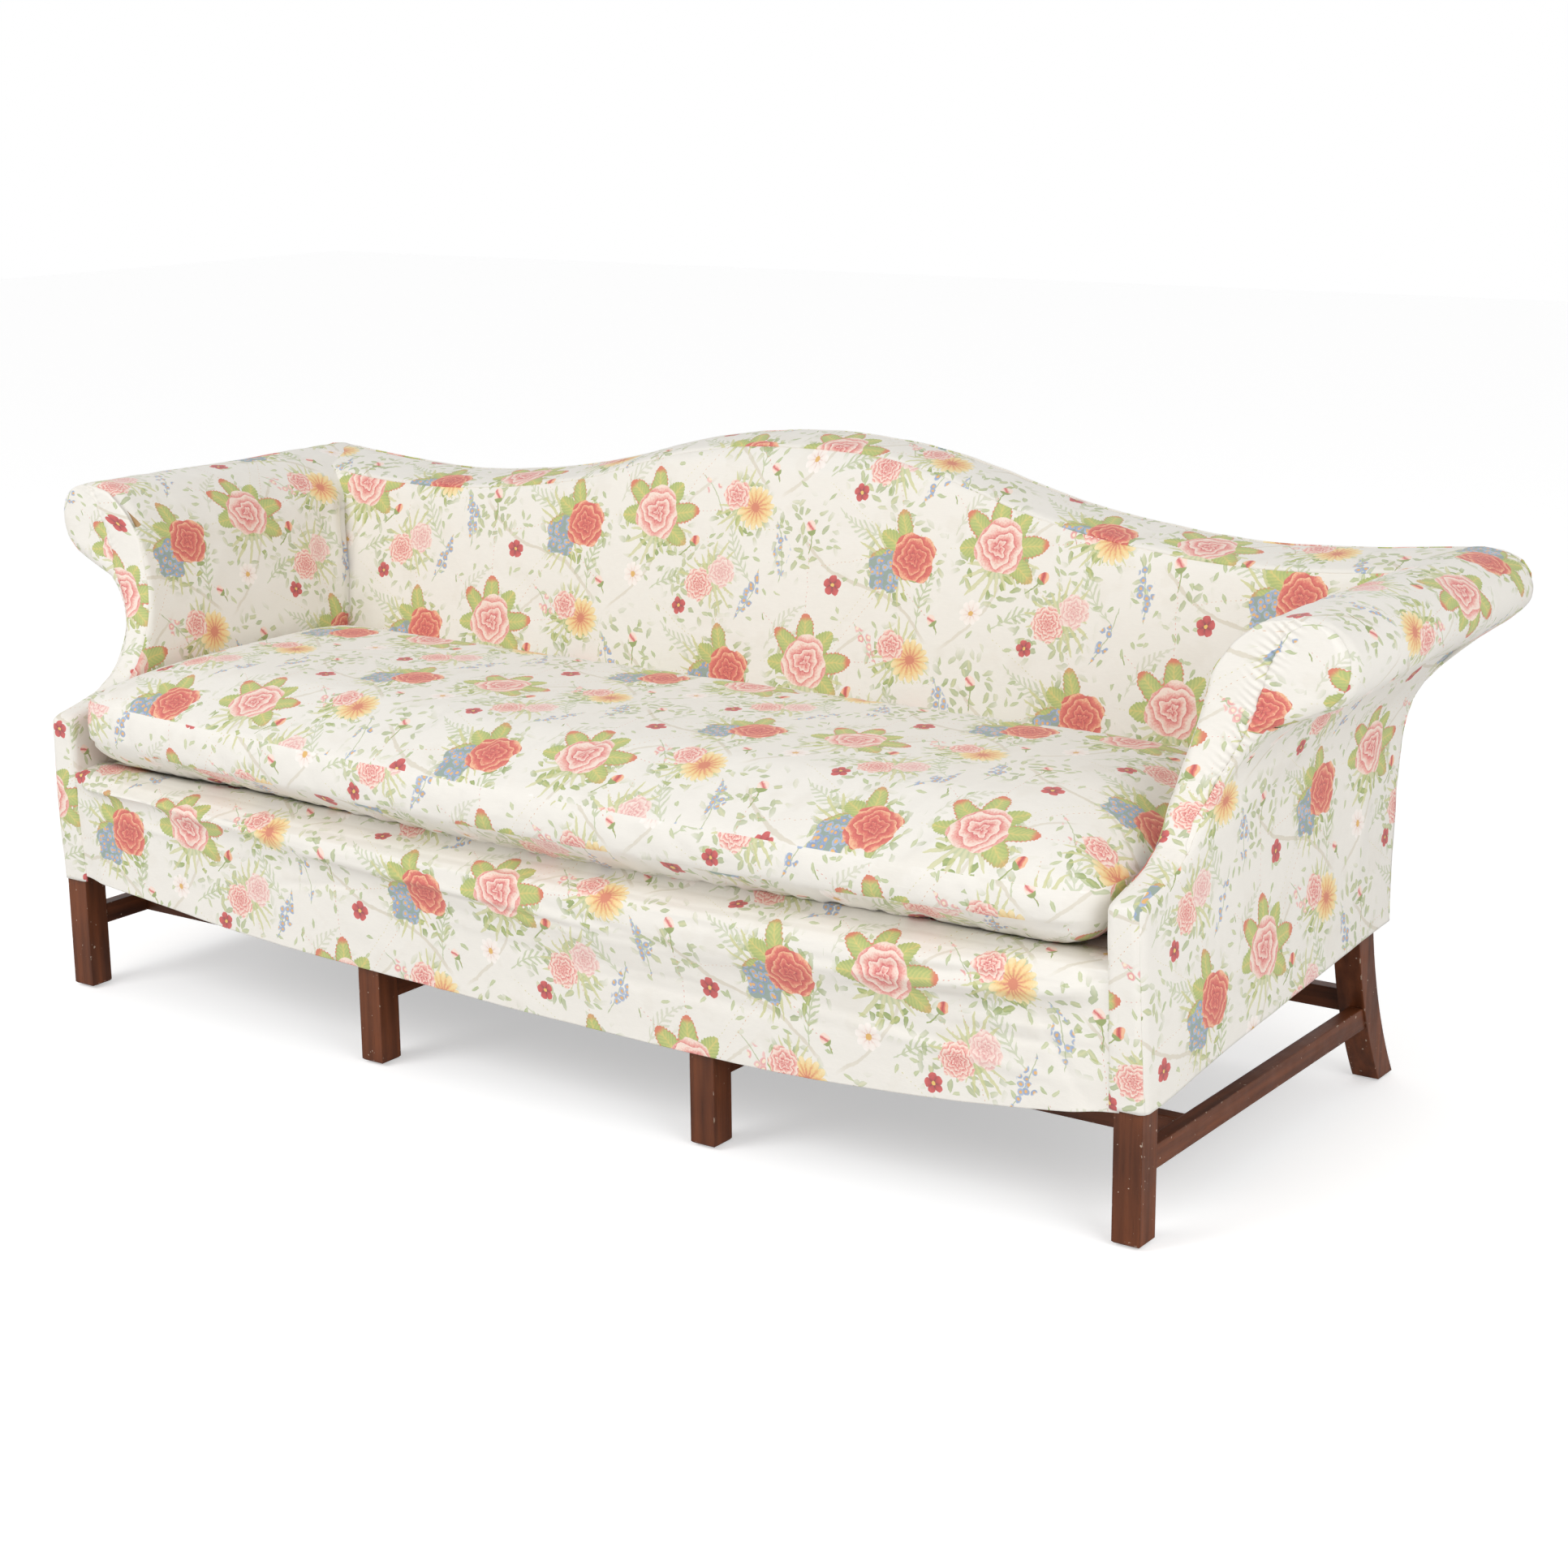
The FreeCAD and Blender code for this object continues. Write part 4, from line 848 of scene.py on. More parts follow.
# Half width between the arms' inner faces at a height and depth
def armReach(height, depth):
    mix = backShare(depth)
    widths = []
    for line in insideLines[1:]:
        rising = line[:np.argmax(line[:, 1])]
        widths.append(np.interp(height, rising[:, 1], rising[:, 0]))
    return widths[0] * (1 - mix) + widths[1] * mix


insideLines = sectionLine("inside")
outsideLines = sectionLine("outside")

# Arms: an inside skin, an outside skin, and the front face as a narrow band with a scroll panel beside it

armValues = {
    "swell": 0.0028,
    "ripple": 0.0008,
    "gather": 0.0017,
    "gatherPitch": 0.012,
    "gatherShare": {1: 1.0, -1: 0.35},
    "seamGroove": 0.0020,
    "hem": 0.1895,
    "lap": 0.014,
    "insideCounts": (150, 170),
    "outsideCounts": (150, 110),
    "bandCounts": (26, 330),
    "scrollCounts": (44, 160),
    # only the left arm shows its inside, where drag folds run down into the corner
    "insideFolds": {1: [], -1: [
        ((0.950, 0.614, 0.53), (0.985, 0.664, 0.775), 0.009, -0.016),
        ((0.955, 0.588, 0.53), (0.995, 0.636, 0.775), 0.012, 0.009),
        ((0.955, 0.540, 0.56), (0.975, 0.600, 0.72), 0.016, -0.005),
        ((0.960, 0.20, 0.545), (0.985, 0.35, 0.69), 0.020, 0.003),
    ]},
    "outsideFolds": [
        ((1.075, 0.185, 0.672), (1.075, 0.34, 0.680), 0.016, 0.006),
        ((1.030, 0.20, 0.60), (1.06, 0.50, 0.655), 0.030, -0.006),
        ((1.010, 0.10, 0.50), (1.02, 0.42, 0.60), 0.026, 0.004),
        ((1.008, 0.05, 0.46), (1.01, 0.30, 0.42), 0.030, -0.003),
        ((1.014, 0.60, 0.34), (1.012, 0.66, 0.56), 0.022, 0.004),
        ((1.014, 0.02, 0.24), (1.012, 0.28, 0.33), 0.026, 0.003),
    ],
}
sideWords = {1: "Right", -1: "Left"}


# Where a skin starts behind the arm's front, so that its rounded edge meets the front face
def skinStart(z, radius):
    return frontDepth(z) + cornerShare * radius / np.maximum(frontNormal(z)[0], 0.25)


# A skin's points, drawn in near the arm's front where its edge is rounded
def skinPlaces(side, depth, x, z, nx, nz, radius):
    drawn = inset(outlineDistance(depth, z), radius)
    return world(side * (x + nx * drawn), depth, z + nz * drawn)


# The outside skin and the scroll panel share one print, so it runs on round their seam
def outsidePrint(side, depth, z):
    return np.column_stack([side * (depth + 0.11), z + np.maximum(z - 0.55, 0) * 0.25 + 0.06])


def insideArm(side, values):
    girth = np.linalg.norm(np.diff(insideLines[1][:, :2], axis=0), axis=1).sum()

    def shape(u, v):
        depth = np.zeros(len(u))
        for _ in range(3):
            x, z, nx, nz = sectionAt(insideLines, v, depth)
            radius = np.where(v < 0.5, readOff("roundInner", z), readOff("roundOuter", z))
            start = skinStart(z, radius)
            face = backFace(z) + values["lap"]
            # the roll runs on past the back's face to the sofa's rear
            past = np.maximum(np.clip((x - 1.035) / 0.060, 0, 1), np.clip((v - 0.45) / 0.06, 0, 1))
            end = face + (rearDepth(z) - 0.003 - face) * past
            depth = start + (end - start) * u ** 1.35
        return skinPlaces(side, depth, x, z, nx, nz, radius), np.column_stack([-side * depth, v * girth])

    return gridPiece(
        "insideArm" + sideWords[side], values["insideCounts"], shape, (-side, 0, 0.3),
        lambda places: wander(places, values) + foldHeight(places, values["insideFolds"][side], side),
    )


def outsideArm(side, values):
    def shape(u, v):
        depth = np.zeros(len(u))
        for _ in range(3):
            x, z, nx, nz = sectionAt(outsideLines, 1 - v, depth)
            low = 0.180 + 0.060 * backShare(depth)
            z = np.where(z < 0.5, 0.5 - (0.5 - z) * (0.5 - readOff("sideHem", depth)) / (0.5 - low), z)
            radius = readOff("roundOuter", z)
            start = skinStart(z, radius)
            depth = start + (rearDepth(z) - 0.002 - start) * u ** 1.25
        return skinPlaces(side, depth, x, z, nx, nz, radius), outsidePrint(side, depth, z)

    return gridPiece(
        "outsideArm" + sideWords[side], values["outsideCounts"], shape, (side, 0, -0.3),
        lambda places: wander(places, values) + foldHeight(places, values["outsideFolds"], side),
    )


# The two edges of the arm's front face, matched rib by rib instead of by length
def ribTable(name):
    line = armLines[name]
    return smoothed(resampled(np.linspace(0, 1, len(line)), line, np.linspace(0, 1, 500)), 40)


# The front ends of the arm's two skins, which the face's edges are drawn onto so that the seams close
def frontRim(lines):
    share = np.linspace(0, 1, 900)
    depth = np.zeros(len(share))
    for _ in range(4):
        x, z = sectionAt(lines, share, depth)[:2]
        depth = frontDepth(z)
    return np.column_stack([x, z])


def ontoRim(ribs, rim):
    gaps = np.linalg.norm(ribs[:, None] - rim[None], axis=2)
    pull = np.clip((ribs[:, 1] - 0.47) / 0.05, 0, 1)[:, None]
    return ribs + (rim[np.argmin(gaps, axis=1)] - ribs) * pull


insideRim = frontRim(insideLines)
innerRibs = ontoRim(ribTable("faceInner"), insideRim)
outerRibs = ontoRim(ribTable("faceOuter"), np.concatenate([insideRim, frontRim(outsideLines)]))


# The narrow band up the arm's front, or the scroll panel beside it
def armFace(side, values, band):
    ribs = np.linspace(0, 1, len(innerRibs))
    bandWidth = readOff("bandWide", innerRibs[:, 1])
    roomy = np.linalg.norm(outerRibs - innerRibs, axis=1) > bandWidth + 0.004
    first = ribs[np.argmax(roomy)]

    def shape(u, v):
        rib = v if band else first + (1 - first) * v
        inner = resampled(ribs, innerRibs, rib)
        outer = resampled(ribs, outerRibs, rib)
        span = np.linalg.norm(outer - inner, axis=1)
        rIn = readOff("roundInner", inner[:, 1])
        rOut = readOff("roundOuter", outer[:, 1])
        low = cornerShare * rIn / span
        high = 1 - cornerShare * rOut / span
        seam = np.minimum(np.clip(np.interp(rib, ribs, bandWidth) / span, 0, 1), high)
        share = low + (seam - low) * u if band else seam + (high - seam) * u
        x, z = (inner + (outer - inner) * share[:, None]).T
        z = np.where(z < 0.3, 0.3 - (0.3 - z) * (0.3 - values["hem"]) / 0.150, z)
        ny, nz = frontNormal(z)
        depthIn = inset(share * span, rIn) + inset((1 - share) * span, rOut)
        y = frontDepth(z) + ny * depthIn
        places = world(side * x, y, z + nz * depthIn)
        if not band:
            return places, outsidePrint(side, frontDepth(z) + x - readOff("scrollEdge", z), z)
        length = z + np.clip(y, 0, 0.14) * 0.6
        return places, np.column_stack([side * (share * span) + 0.155, length * 1.1 + 0.235])

    # Short gathers fan out from the seam where the band climbs the scroll
    def relief(places):
        x, z = np.abs(places[:, 0]), places[:, 2]
        rib = np.interp(z, innerRibs[:, 1], ribs)
        edge = np.interp(rib, ribs, innerRibs[:, 0]) + np.interp(rib, ribs, bandWidth)
        away = np.abs(x - edge)
        climb = np.clip((z - 0.50) / 0.08, 0, 1)
        pleat = np.sin((z + x * 0.6) * 2 * np.pi / values["gatherPitch"] + 2.2 * softNoise(places, 40.0, 5))
        gather = values["gather"] * values["gatherShare"][side] * pleat * np.exp(-((away / 0.020) ** 2))
        groove = values["seamGroove"] * np.exp(-((away / 0.0035) ** 2))
        return wander(places, values) + (gather - groove) * climb

    name = "armBand" if band else "armScroll"
    counts = values["bandCounts"] if band else values["scrollCounts"]
    return gridPiece(name + sideWords[side], counts, shape, (0, -1, 0.3), relief)


for side, word in ((1, "right"), (-1, "left")):
    rails = ["arm_roll_rail_" + word, "side_rail_" + word]
    stump = ["arm_stump_" + word]
    inside = insideArm(side, armValues)
    outside = outsideArm(side, armValues)
    band = armFace(side, armValues, True)
    scroll = armFace(side, armValues, False)
    finishPiece(inside, rails, "cover_inside_arm_" + word, "arm_stuffing_" + word)
    finishPiece(outside, rails, "cover_outside_arm_" + word)
    finishPiece(band, stump, "cover_arm_front_" + word)
    finishPiece(scroll, stump)
print("arms covered")

# Back: the face, the band along the camel top, and the sheet behind

backValues = {
    "puff": 0.009,
    "swell": 0.0028,
    "ripple": 0.0008,
    "tuck": 0.010,
    "seat": 0.383,
    "topFall": 0.14,
    "topHalf": 1.100,
    "crown": 0.004,
    "faceCounts": (300, 90),
    "bandCounts": (320, 22),
    "rearCounts": (260, 110),
    "rearFoot": (1.022, 0.262),
    "rearShoulder": (1.188, 0.766),
    "rearProfile": [
        (1.022, 0.262), (1.017, 0.330), (1.014, 0.420), (1.014, 0.530), (1.019, 0.562), (1.025, 0.590),
        (1.034, 0.612), (1.061, 0.642), (1.089, 0.667), (1.126, 0.698), (1.170, 0.731), (1.183, 0.746),
        (1.188, 0.766),
    ],
    "rearTip": [(1.188, 0.766), (1.184, 0.788), (1.168, 0.806), (1.140, 0.8155), (1.102, 0.818)],
    "tipShare": 0.92,
    "faceFolds": [
        ((-0.93, 0.61, 0.50), (-0.95, 0.655, 0.74), 0.014, 0.004),
        ((-0.60, 0.63, 0.66), (-0.42, 0.62, 0.54), 0.030, -0.003),
        ((0.02, 0.71, 0.86), (-0.05, 0.67, 0.72), 0.020, -0.003),
        ((0.30, 0.69, 0.80), (0.34, 0.63, 0.58), 0.022, 0.002),
    ],
    "rearFolds": [
        ((0.25, 0.74, 0.30), (0.32, 0.80, 0.80), 0.030, 0.003),
        ((-0.55, 0.73, 0.28), (-0.50, 0.78, 0.70), 0.026, -0.003),
        ((0.95, 0.76, 0.55), (1.08, 0.79, 0.70), 0.026, 0.004),
        ((-0.95, 0.76, 0.55), (-1.08, 0.79, 0.70), 0.026, 0.004),
    ],
}


# Height and depth of the seam between the back's face and its top band
def frontTop(x):
    crest = camelHeight(x)
    height = crest - 0.014
    for _ in range(3):
        depth = backFace(height)
        height = crest - backValues["topFall"] * (rearDepth(crest) - depth)
    return height, depth


def insideBack(values):
    def shape(u, v):
        share = u * 2 - 1
        x = share
        for _ in range(5):
            top = frontTop(x)[0]
            z = values["seat"] + (top - values["seat"]) * v
            x = share * (armReach(z, backFace(z)) + values["tuck"])
        edge = np.clip((1 - np.abs(share)) / 0.10, 0, 1)
        puff = values["puff"] * np.sin(np.pi * np.clip(v * 1.02, 0, 1)) ** 0.6 * edge ** 0.7
        # rounded where the face turns over to the band
        y = backFace(z) - puff + inset(top - z + 0.004, 0.020)
        return world(x, y, z), np.column_stack([x + 0.04, z * 1.03 + 0.022])

    return gridPiece(
        "insideBack", values["faceCounts"], shape, (0, -1, 0.2),
        lambda places: wander(places, values) + foldHeight(places, values["faceFolds"]),
    )


def topBand(values):
    def shape(u, v):
        x = (u * 2 - 1) * values["topHalf"]
        crest = camelHeight(x)
        rear = rearDepth(crest) - 0.002
        start = frontTop(x)[1] + 0.003
        y = start + (rear - start) * v
        z = crest - values["topFall"] * (rear - y)
        z = z - inset(y - start + 0.004, 0.016) * 0.6 - inset(rear - y + 0.004, 0.018)
        places = world(x, y, z + values["crown"] * np.sin(np.pi * v))
        return places, np.column_stack([x + 0.04, y + 0.31])

    return gridPiece("topBand", values["bandCounts"], shape, (0, 0, 1), lambda places: wander(places, values))


def outsideBack(values):
    profile = softened(values["rearProfile"], 6)[1]
    steps = np.linspace(0, 1, len(profile))
    tipSteps, tip = softened(values["rearTip"], 4)
    (footX, footZ), (shoulderX, shoulderZ) = values["rearFoot"], values["rearShoulder"]

    # The top edge, from one scroll's tip over the camel back to the other's
    def topLine(t):
        away = np.abs(t)
        beyond = away > values["tipShare"]
        over = np.clip((away - values["tipShare"]) / (1 - values["tipShare"]), 0, 1)
        tipX, tipZ = resampled(tipSteps, tip, 1 - over).T
        x = np.where(beyond, tipX, away / values["tipShare"] * values["rearTip"][-1][0])
        z = np.where(beyond, tipZ, camelHeight(x))
        return np.sign(t) * x, z

    def shape(u, v):
        t = u * 2 - 1
        topX, topZ = topLine(t)
        sideX, sideZ = resampled(steps, profile, v).T
        x = (1 - v) * t * footX + v * topX + t * sideX - t * ((1 - v) * footX + v * shoulderX)
        level = (1 - v) * footZ + v * topZ
        z = level + (sideZ - ((1 - v) * footZ + v * shoulderZ)) * np.abs(t) ** 6
        # the edges turn forward a little, to meet the arms and the top band
        out = np.maximum(np.abs(t), v)
        y = rearDepth(z) + 0.0005 - inset((1 - out) * 0.8 + 0.003, 0.012)
        return world(x, y, z), np.column_stack([-x + 0.1, z + 0.05])

    return gridPiece(
        "outsideBack", values["rearCounts"], shape, (0, 1, 0),
        lambda places: wander(places, values) + foldHeight(places, values["rearFolds"]),
    )


faceCloth = insideBack(backValues)
crestCloth = topBand(backValues)
rearCloth = outsideBack(backValues)
finishPiece(faceCloth, ["crest_rail"], "cover_inside_back", "back_stuffing")
finishPiece(crestCloth, ["crest_rail"], "cover_top_band")
finishPiece(rearCloth, ["crest_rail", "back_rail"], "cover_outside_back")
print("back covered")

# Seat front: the apron rolls over the stuffed edge, tucks in under it and hangs to a sagging hem

apronValues = {
    "hem": [
        (-1.0, 0.200), (-0.60, 0.169), (-0.35, 0.160), (0, 0.150), (0.31, 0.1435), (0.45, 0.1435),
        (0.60, 0.147), (0.72, 0.155), (0.85, 0.166), (1.0, 0.1855),
    ],
    "tuck": [
        (-1.0, 0.356), (-0.95, 0.359), (-0.66, 0.341), (-0.39, 0.325), (-0.19, 0.305), (0, 0.288),
        (0.19, 0.283), (0.40, 0.289), (0.61, 0.297), (0.74, 0.304), (0.87, 0.320), (1.0, 0.346),
    ],
    # depth, height, share of the front's bow, and part: 0 to 1 over the roll, then on down the skirt
    "profile": [
        (0.030, 0.384, 0, 0), (0.012, 0.384, 0, 0), (-0.018, 0.382, 0.2, 0), (-0.030, 0.378, 0.55, 0),
        (-0.040, 0.368, 0.85, 0), (-0.046, 0.356, 1, 0.15), (-0.048, 0.342, 1, 0.45),
        (-0.047, 0.330, 1, 0.75), (-0.043, 0.318, 0.95, 0.98), (-0.037, 0.309, 0.90, 1),
        (-0.034, 0.300, 0.87, 1), (-0.032, 0.285, 0.86, 1), (-0.031, 0.250, 0.85, 2),
        (-0.030, 0.220, 0.85, 3), (-0.030, 0.190, 0.85, 4),
    ],
    "skirtTop": 0.300,
    "skirtLong": 0.110,
    "rollFoot": 0.314,
    "bow": 0.025,
    "halfWide": 0.974,
    "counts": (400, 112),
    "swell": 0.0028,
    "ripple": 0.0008,
    "seed": 4,
    "looseFolds": 15,
    # drag folds seen from the front: start and end (width, height), half width and rise of the ridge
    "folds": [
        ((0.66, 0.350), (0.95, 0.388), 0.008, 0.0035), ((0.60, 0.332), (0.95, 0.362), 0.007, -0.0030),
        ((0.52, 0.316), (0.94, 0.340), 0.008, 0.0040), ((0.58, 0.298), (0.95, 0.314), 0.007, -0.0036),
        ((0.66, 0.276), (0.95, 0.290), 0.008, 0.0028), ((0.74, 0.262), (0.95, 0.266), 0.007, -0.0022),
        ((0.86, 0.300), (0.93, 0.190), 0.008, -0.0026), ((-0.95, 0.362), (-0.60, 0.345), 0.009, 0.0030),
        ((-0.95, 0.336), (-0.55, 0.322), 0.007, -0.0034), ((-0.94, 0.318), (-0.62, 0.300), 0.008, 0.0030),
        ((-0.50, 0.336), (0.10, 0.312), 0.008, 0.0030), ((-0.35, 0.314), (0.30, 0.296), 0.007, -0.0032),
        ((-0.20, 0.270), (0.45, 0.262), 0.010, 0.0026), ((0.05, 0.235), (0.60, 0.228), 0.010, -0.0022),
    ],
}
deckValues = {"halfWide": 0.948, "front": 0.020, "rear": 0.600, "height": 0.3815, "ripple": 0.0008}


def smoothTable(table):
    steps, heights = np.array(table).T
    even = np.linspace(-1, 1, 400)
    return even, smoothed(np.interp(even, steps, heights), 500)


# Folds set at random along the skirt, and the placed ones
def apronFolds(values):
    chosen = np.random.default_rng(values["seed"])
    folds = []
    for number in range(values["looseFolds"]):
        middle = -0.86 + number * 0.123 + chosen.uniform(-0.03, 0.03)
        length = chosen.uniform(0.08, 0.20)
        height = chosen.uniform(0.215, 0.355)
        slope = chosen.uniform(-0.015, 0.015) - 0.02 * middle
        rise = chosen.uniform(0.0018, 0.0034) * (1 if number % 2 else -1)
        ends = ((middle - length, height - slope), (middle + length, height + slope))
        folds.append((*ends, chosen.uniform(0.006, 0.011), rise))
    folds += values["folds"]
    return [((start[0], 0, start[1]), (end[0], 0, end[1]), width, rise) for start, end, width, rise in folds]


def frontApron(values):
    hem = smoothTable(values["hem"])
    tuck = smoothTable(values["tuck"])
    steps, profile = softened(values["profile"], 10)
    folds = apronFolds(values)

    def shape(u, v):
        share = u * 2 - 1
        down = 1 - v
        y, z, follow, drop = resampled(steps, profile, down).T
        bow = 1 - share ** 2
        # the roll's lower line sinks towards the middle, and the skirt runs from it to the hem
        sink = np.interp(share, *tuck) - values["rollFoot"]
        skirtTop = values["skirtTop"] + sink
        hang = np.clip((values["skirtTop"] - z) / values["skirtLong"], 0, 1)
        skirt = skirtTop + (np.interp(share, *hem) - skirtTop) * hang
        roll = z + np.clip(drop, 0, 1) * sink
        roll = roll - 0.013 * bow * np.clip((z - 0.355) / 0.02, 0, 1) * (y < -0.004)
        z = np.where(z < values["skirtTop"], skirt, roll)
        y = y - values["bow"] * bow * follow
        # at its ends the roll sinks back to go under the arm's front
        ends = np.clip((np.abs(share) * values["halfWide"] - 0.905) / 0.050, 0, 1)
        ends = ends * ends * (3 - 2 * ends)
        y = y + (np.maximum(y, frontDepth(z) + 0.004) - y) * ends
        x = share * values["halfWide"]
        return world(x, y, z), np.column_stack([x + 0.115, down])

    return gridPiece(
        "frontApron", values["counts"], shape, (0, -1, 0.3),
        lambda places: wander(places, values) + foldHeight(places * [1, 0, 1], folds, row=0), rolled=0.30,
    )


def seatDeck(values):
    def shape(u, v):
        x = (u * 2 - 1) * values["halfWide"]
        y = values["front"] + (values["rear"] - values["front"]) * v
        return world(x, y, np.full(len(x), values["height"])), np.column_stack([x + 0.19, y + 0.02])

    return gridPiece(
        "seatDeck", (60, 20), shape, (0, 0, 1), lambda places: softNoise(places, 12.0, 3) * values["ripple"],
    )


apronCloth = frontApron(apronValues)
deckCloth = seatDeck(deckValues)
finishPiece(apronCloth, ["front_rail"], "cover_front_apron", "seat_edge_roll")
finishPiece(deckCloth, ["seat_hessian"], "cover_deck", "deck_stuffing")
print("seat front covered")

# Seat cushion: one long boxed pad, blown up by cloth simulation between its stitched seams

cushionValues = {
    "counts": (168, 62, 9),
    "halfWide": 0.936,
    "rear": 0.598,
    "front": 0.041,
    "bow": 0.035,
    "corner": 0.055,
    "topSeam": [(-0.94, 0.506), (-0.5, 0.497), (0, 0.489), (0.5, 0.481), (0.94, 0.475)],
    "lowSeam": [(-0.94, 0.437), (-0.5, 0.430), (0, 0.425), (0.5, 0.425), (0.94, 0.429)],
    "crown": 0.537,
    "floor": 0.3845,
    "lowest": 0.3838,
    "frontSag": [(-0.94, 0.392), (-0.6, 0.376), (-0.2, 0.362), (0.2, 0.358), (0.6, 0.363), (0.94, 0.384)],
    # how far in from the side, the front and the rear the top and underside go on rising
    "reach": (0.16, 0.26, 0.17),
    "crownRise": [(0, 0), (0.061, 0.36), (0.168, 0.63), (0.366, 0.83), (0.65, 0.95), (1, 1)],
    "floorRise": [(0, 0), (0.05, 0.36), (0.12, 0.64), (0.24, 0.84), (0.45, 0.96), (1, 1)],
    "wallSwell": 0.004,
    # left, right, front, rear, underside, top: what each way of the print takes from x, y, z and 1
    "print": [
        [(0, -1, 0, 0.1), (0, 0, 1, 0.30)],
        [(0, 1, 0, 0.1), (0, 0, 1, 0.10)],
        [(1, 0, 0, 0.125), (0, 0, 1, 0.22)],
        [(-1, 0, 0, 0.1), (0, 0, 1, 0.30)],
        [(1, 0, 0, 0.17), (0, -1, 0, 0.02)],
        [(1, 0, 0, 0.01), (0, 1.03, 0, 0.16)],
    ],
    "cloth": {
        "use_pressure": True, "uniform_pressure_force": 4.0, "shrink_min": -0.012, "quality": 4, "mass": 0.3,
        "tension_stiffness": 25, "bending_stiffness": 0.35, "vertex_group_mass": "seams",
    },
    "frames": 20,
    "cap": 0.024,
    "pucker": 0.0034,
}


# Front and rear depth of the cushion at a width, with rounded corners
def cushionEdges(x, values):
    corner = values["corner"]
    share = np.clip(np.abs(x) / values["halfWide"], 0, 1)
    into = np.clip(np.abs(x) - (values["halfWide"] - corner), 0, corner)
    front = -values["front"] - values["bow"] * (1 - share ** 2)
    front = front + corner - np.sqrt(np.maximum(corner ** 2 - into ** 2, 0))
    return front, np.full(len(x), values["rear"])


def seatCushion(values):
    form = bmesh.new()
    bmesh.ops.create_cube(form, size=2.0)
    for axis, count in enumerate(values["counts"]):
        edges = [
            edge for edge in form.edges
            if abs(abs(edge.verts[0].co[axis] - edge.verts[1].co[axis]) - 2.0) < 0.001
        ]
        bmesh.ops.subdivide_edges(form, edges=edges, cuts=count - 1, use_grid_fill=True)
    mesh, flat = closeForm(form, "seatCushion")
    a, b, c = flat.T

    # Closer rows near the sides, where the cushion turns
    def spread(t):
        return np.sign(t) * (0.72 * np.abs(t) + 0.28 * np.sin(np.abs(t) * np.pi / 2))

    def along(name, x):
        return np.interp(x, *np.array(values[name]).T)

    half = values["halfWide"]
    x = spread(a) * half
    frontEdge, rearEdge = cushionEdges(x, values)
    y = frontEdge + (rearEdge - frontEdge) * (spread(b) + 1) / 2
    gaps = (half - np.abs(x), y - frontEdge, rearEdge - y)

    def rise(name):
        share = np.ones(len(x))
        for gap, reach in zip(gaps, values["reach"]):
            share *= along(name, np.clip(gap / reach, 0, 1))
        return share

    seamTop, seamLow, sag = along("topSeam", x), along("lowSeam", x), along("frontSag", x)
    crest = values["crown"] - 0.004 * (x / half)
    floor = sag + (values["floor"] - sag) * np.clip((y + 0.035) / 0.045, 0, 1)
    wall = seamLow + (seamTop - seamLow) * (c + 1) / 2
    top = seamTop + (crest - seamTop) * rise("crownRise")
    low = seamLow + (floor - seamLow) * rise("floorRise")
    z = np.where(c > 0.999, top, np.where(c < -0.999, low, wall))
    swell = values["wallSwell"] * (1 - c ** 2)
    y = np.where(b < -0.999, y - swell, np.where(b > 0.999, y + swell * 0.5, y))
    x = np.where(np.abs(a) > 0.999, x + np.sign(a) * swell * 0.3, x)
    places = world(x, y, z)
    setPoints(mesh, places)
    centre = np.array([flat[list(face.vertices)].mean(0) for face in mesh.polygons])
    axis = np.argmax(np.abs(centre), axis=1)
    kind = axis * 2 + (centre[np.arange(len(centre)), axis] > 0)
    corners = cornerPoints(mesh)
    rows = np.array(values["print"])[np.repeat(kind, 4)]
    pattern = (rows * np.column_stack([x, y, z, np.ones(len(x))])[corners][:, None]).sum(axis=2)
    return clothPiece(mesh, pattern), flat, places


def seamPoints(flat):
    onRim = np.maximum(np.abs(flat[:, 0]), np.abs(flat[:, 1])) > 0.999
    return np.flatnonzero(onRim & (np.abs(np.abs(flat[:, 2]) - 1) < 0.001))


# Cloth with air inside, pinned along its seams; each point may move only so far
def blowUp(piece, flat, start, values):
    pinned = piece.vertex_groups.new(name="seams")
    pinned.add([int(index) for index in seamPoints(flat)], 1.0, "REPLACE")
    cloth = piece.modifiers.new("cloth", "CLOTH")
    for name, value in values["cloth"].items():
        setattr(cloth.settings, name, value)
    cloth.settings.effector_weights.gravity = 0
    cloth.collision_settings.use_self_collision = False
    cloth.point_cache.frame_start = 1
    cloth.point_cache.frame_end = values["frames"]
    scene = bpy.context.scene
    for number in range(1, values["frames"] + 1):
        scene.frame_set(number)
    shaped = piece.evaluated_get(bpy.context.evaluated_depsgraph_get()).to_mesh()
    moved = meshPoints(shaped) - start
    piece.modifiers.clear()
    scene.frame_set(1)
    length = np.linalg.norm(moved, axis=1)
    places = start + moved * (np.minimum(length, values["cap"]) / np.maximum(length, 1e-9))[:, None]
    half = values["halfWide"] + 0.002
    places[:, 0] = np.clip(places[:, 0], -half, half)
    places[:, 1] = np.minimum(places[:, 1], legRow + values["rear"] + 0.004)
    onDeck = start[:, 1] > legRow
    places[:, 2] = np.where(onDeck, np.maximum(places[:, 2], values["lowest"]), places[:, 2])
    return places


# The stitched seams pull in a little, unevenly from stitch to stitch
def pucker(piece, flat, places, values):
    seams = seamPoints(flat)
    middle = np.array([0, places[:, 1].mean(), places[:, 2].mean()])
    toward = unit((middle - places) * [0.04, 1, 1])
    uneven = 1 + softNoise(places, 45.0, 31)
    places[seams] += toward[seams] * (uneven[seams] * values["pucker"])[:, None]
    setPoints(piece.data, places)


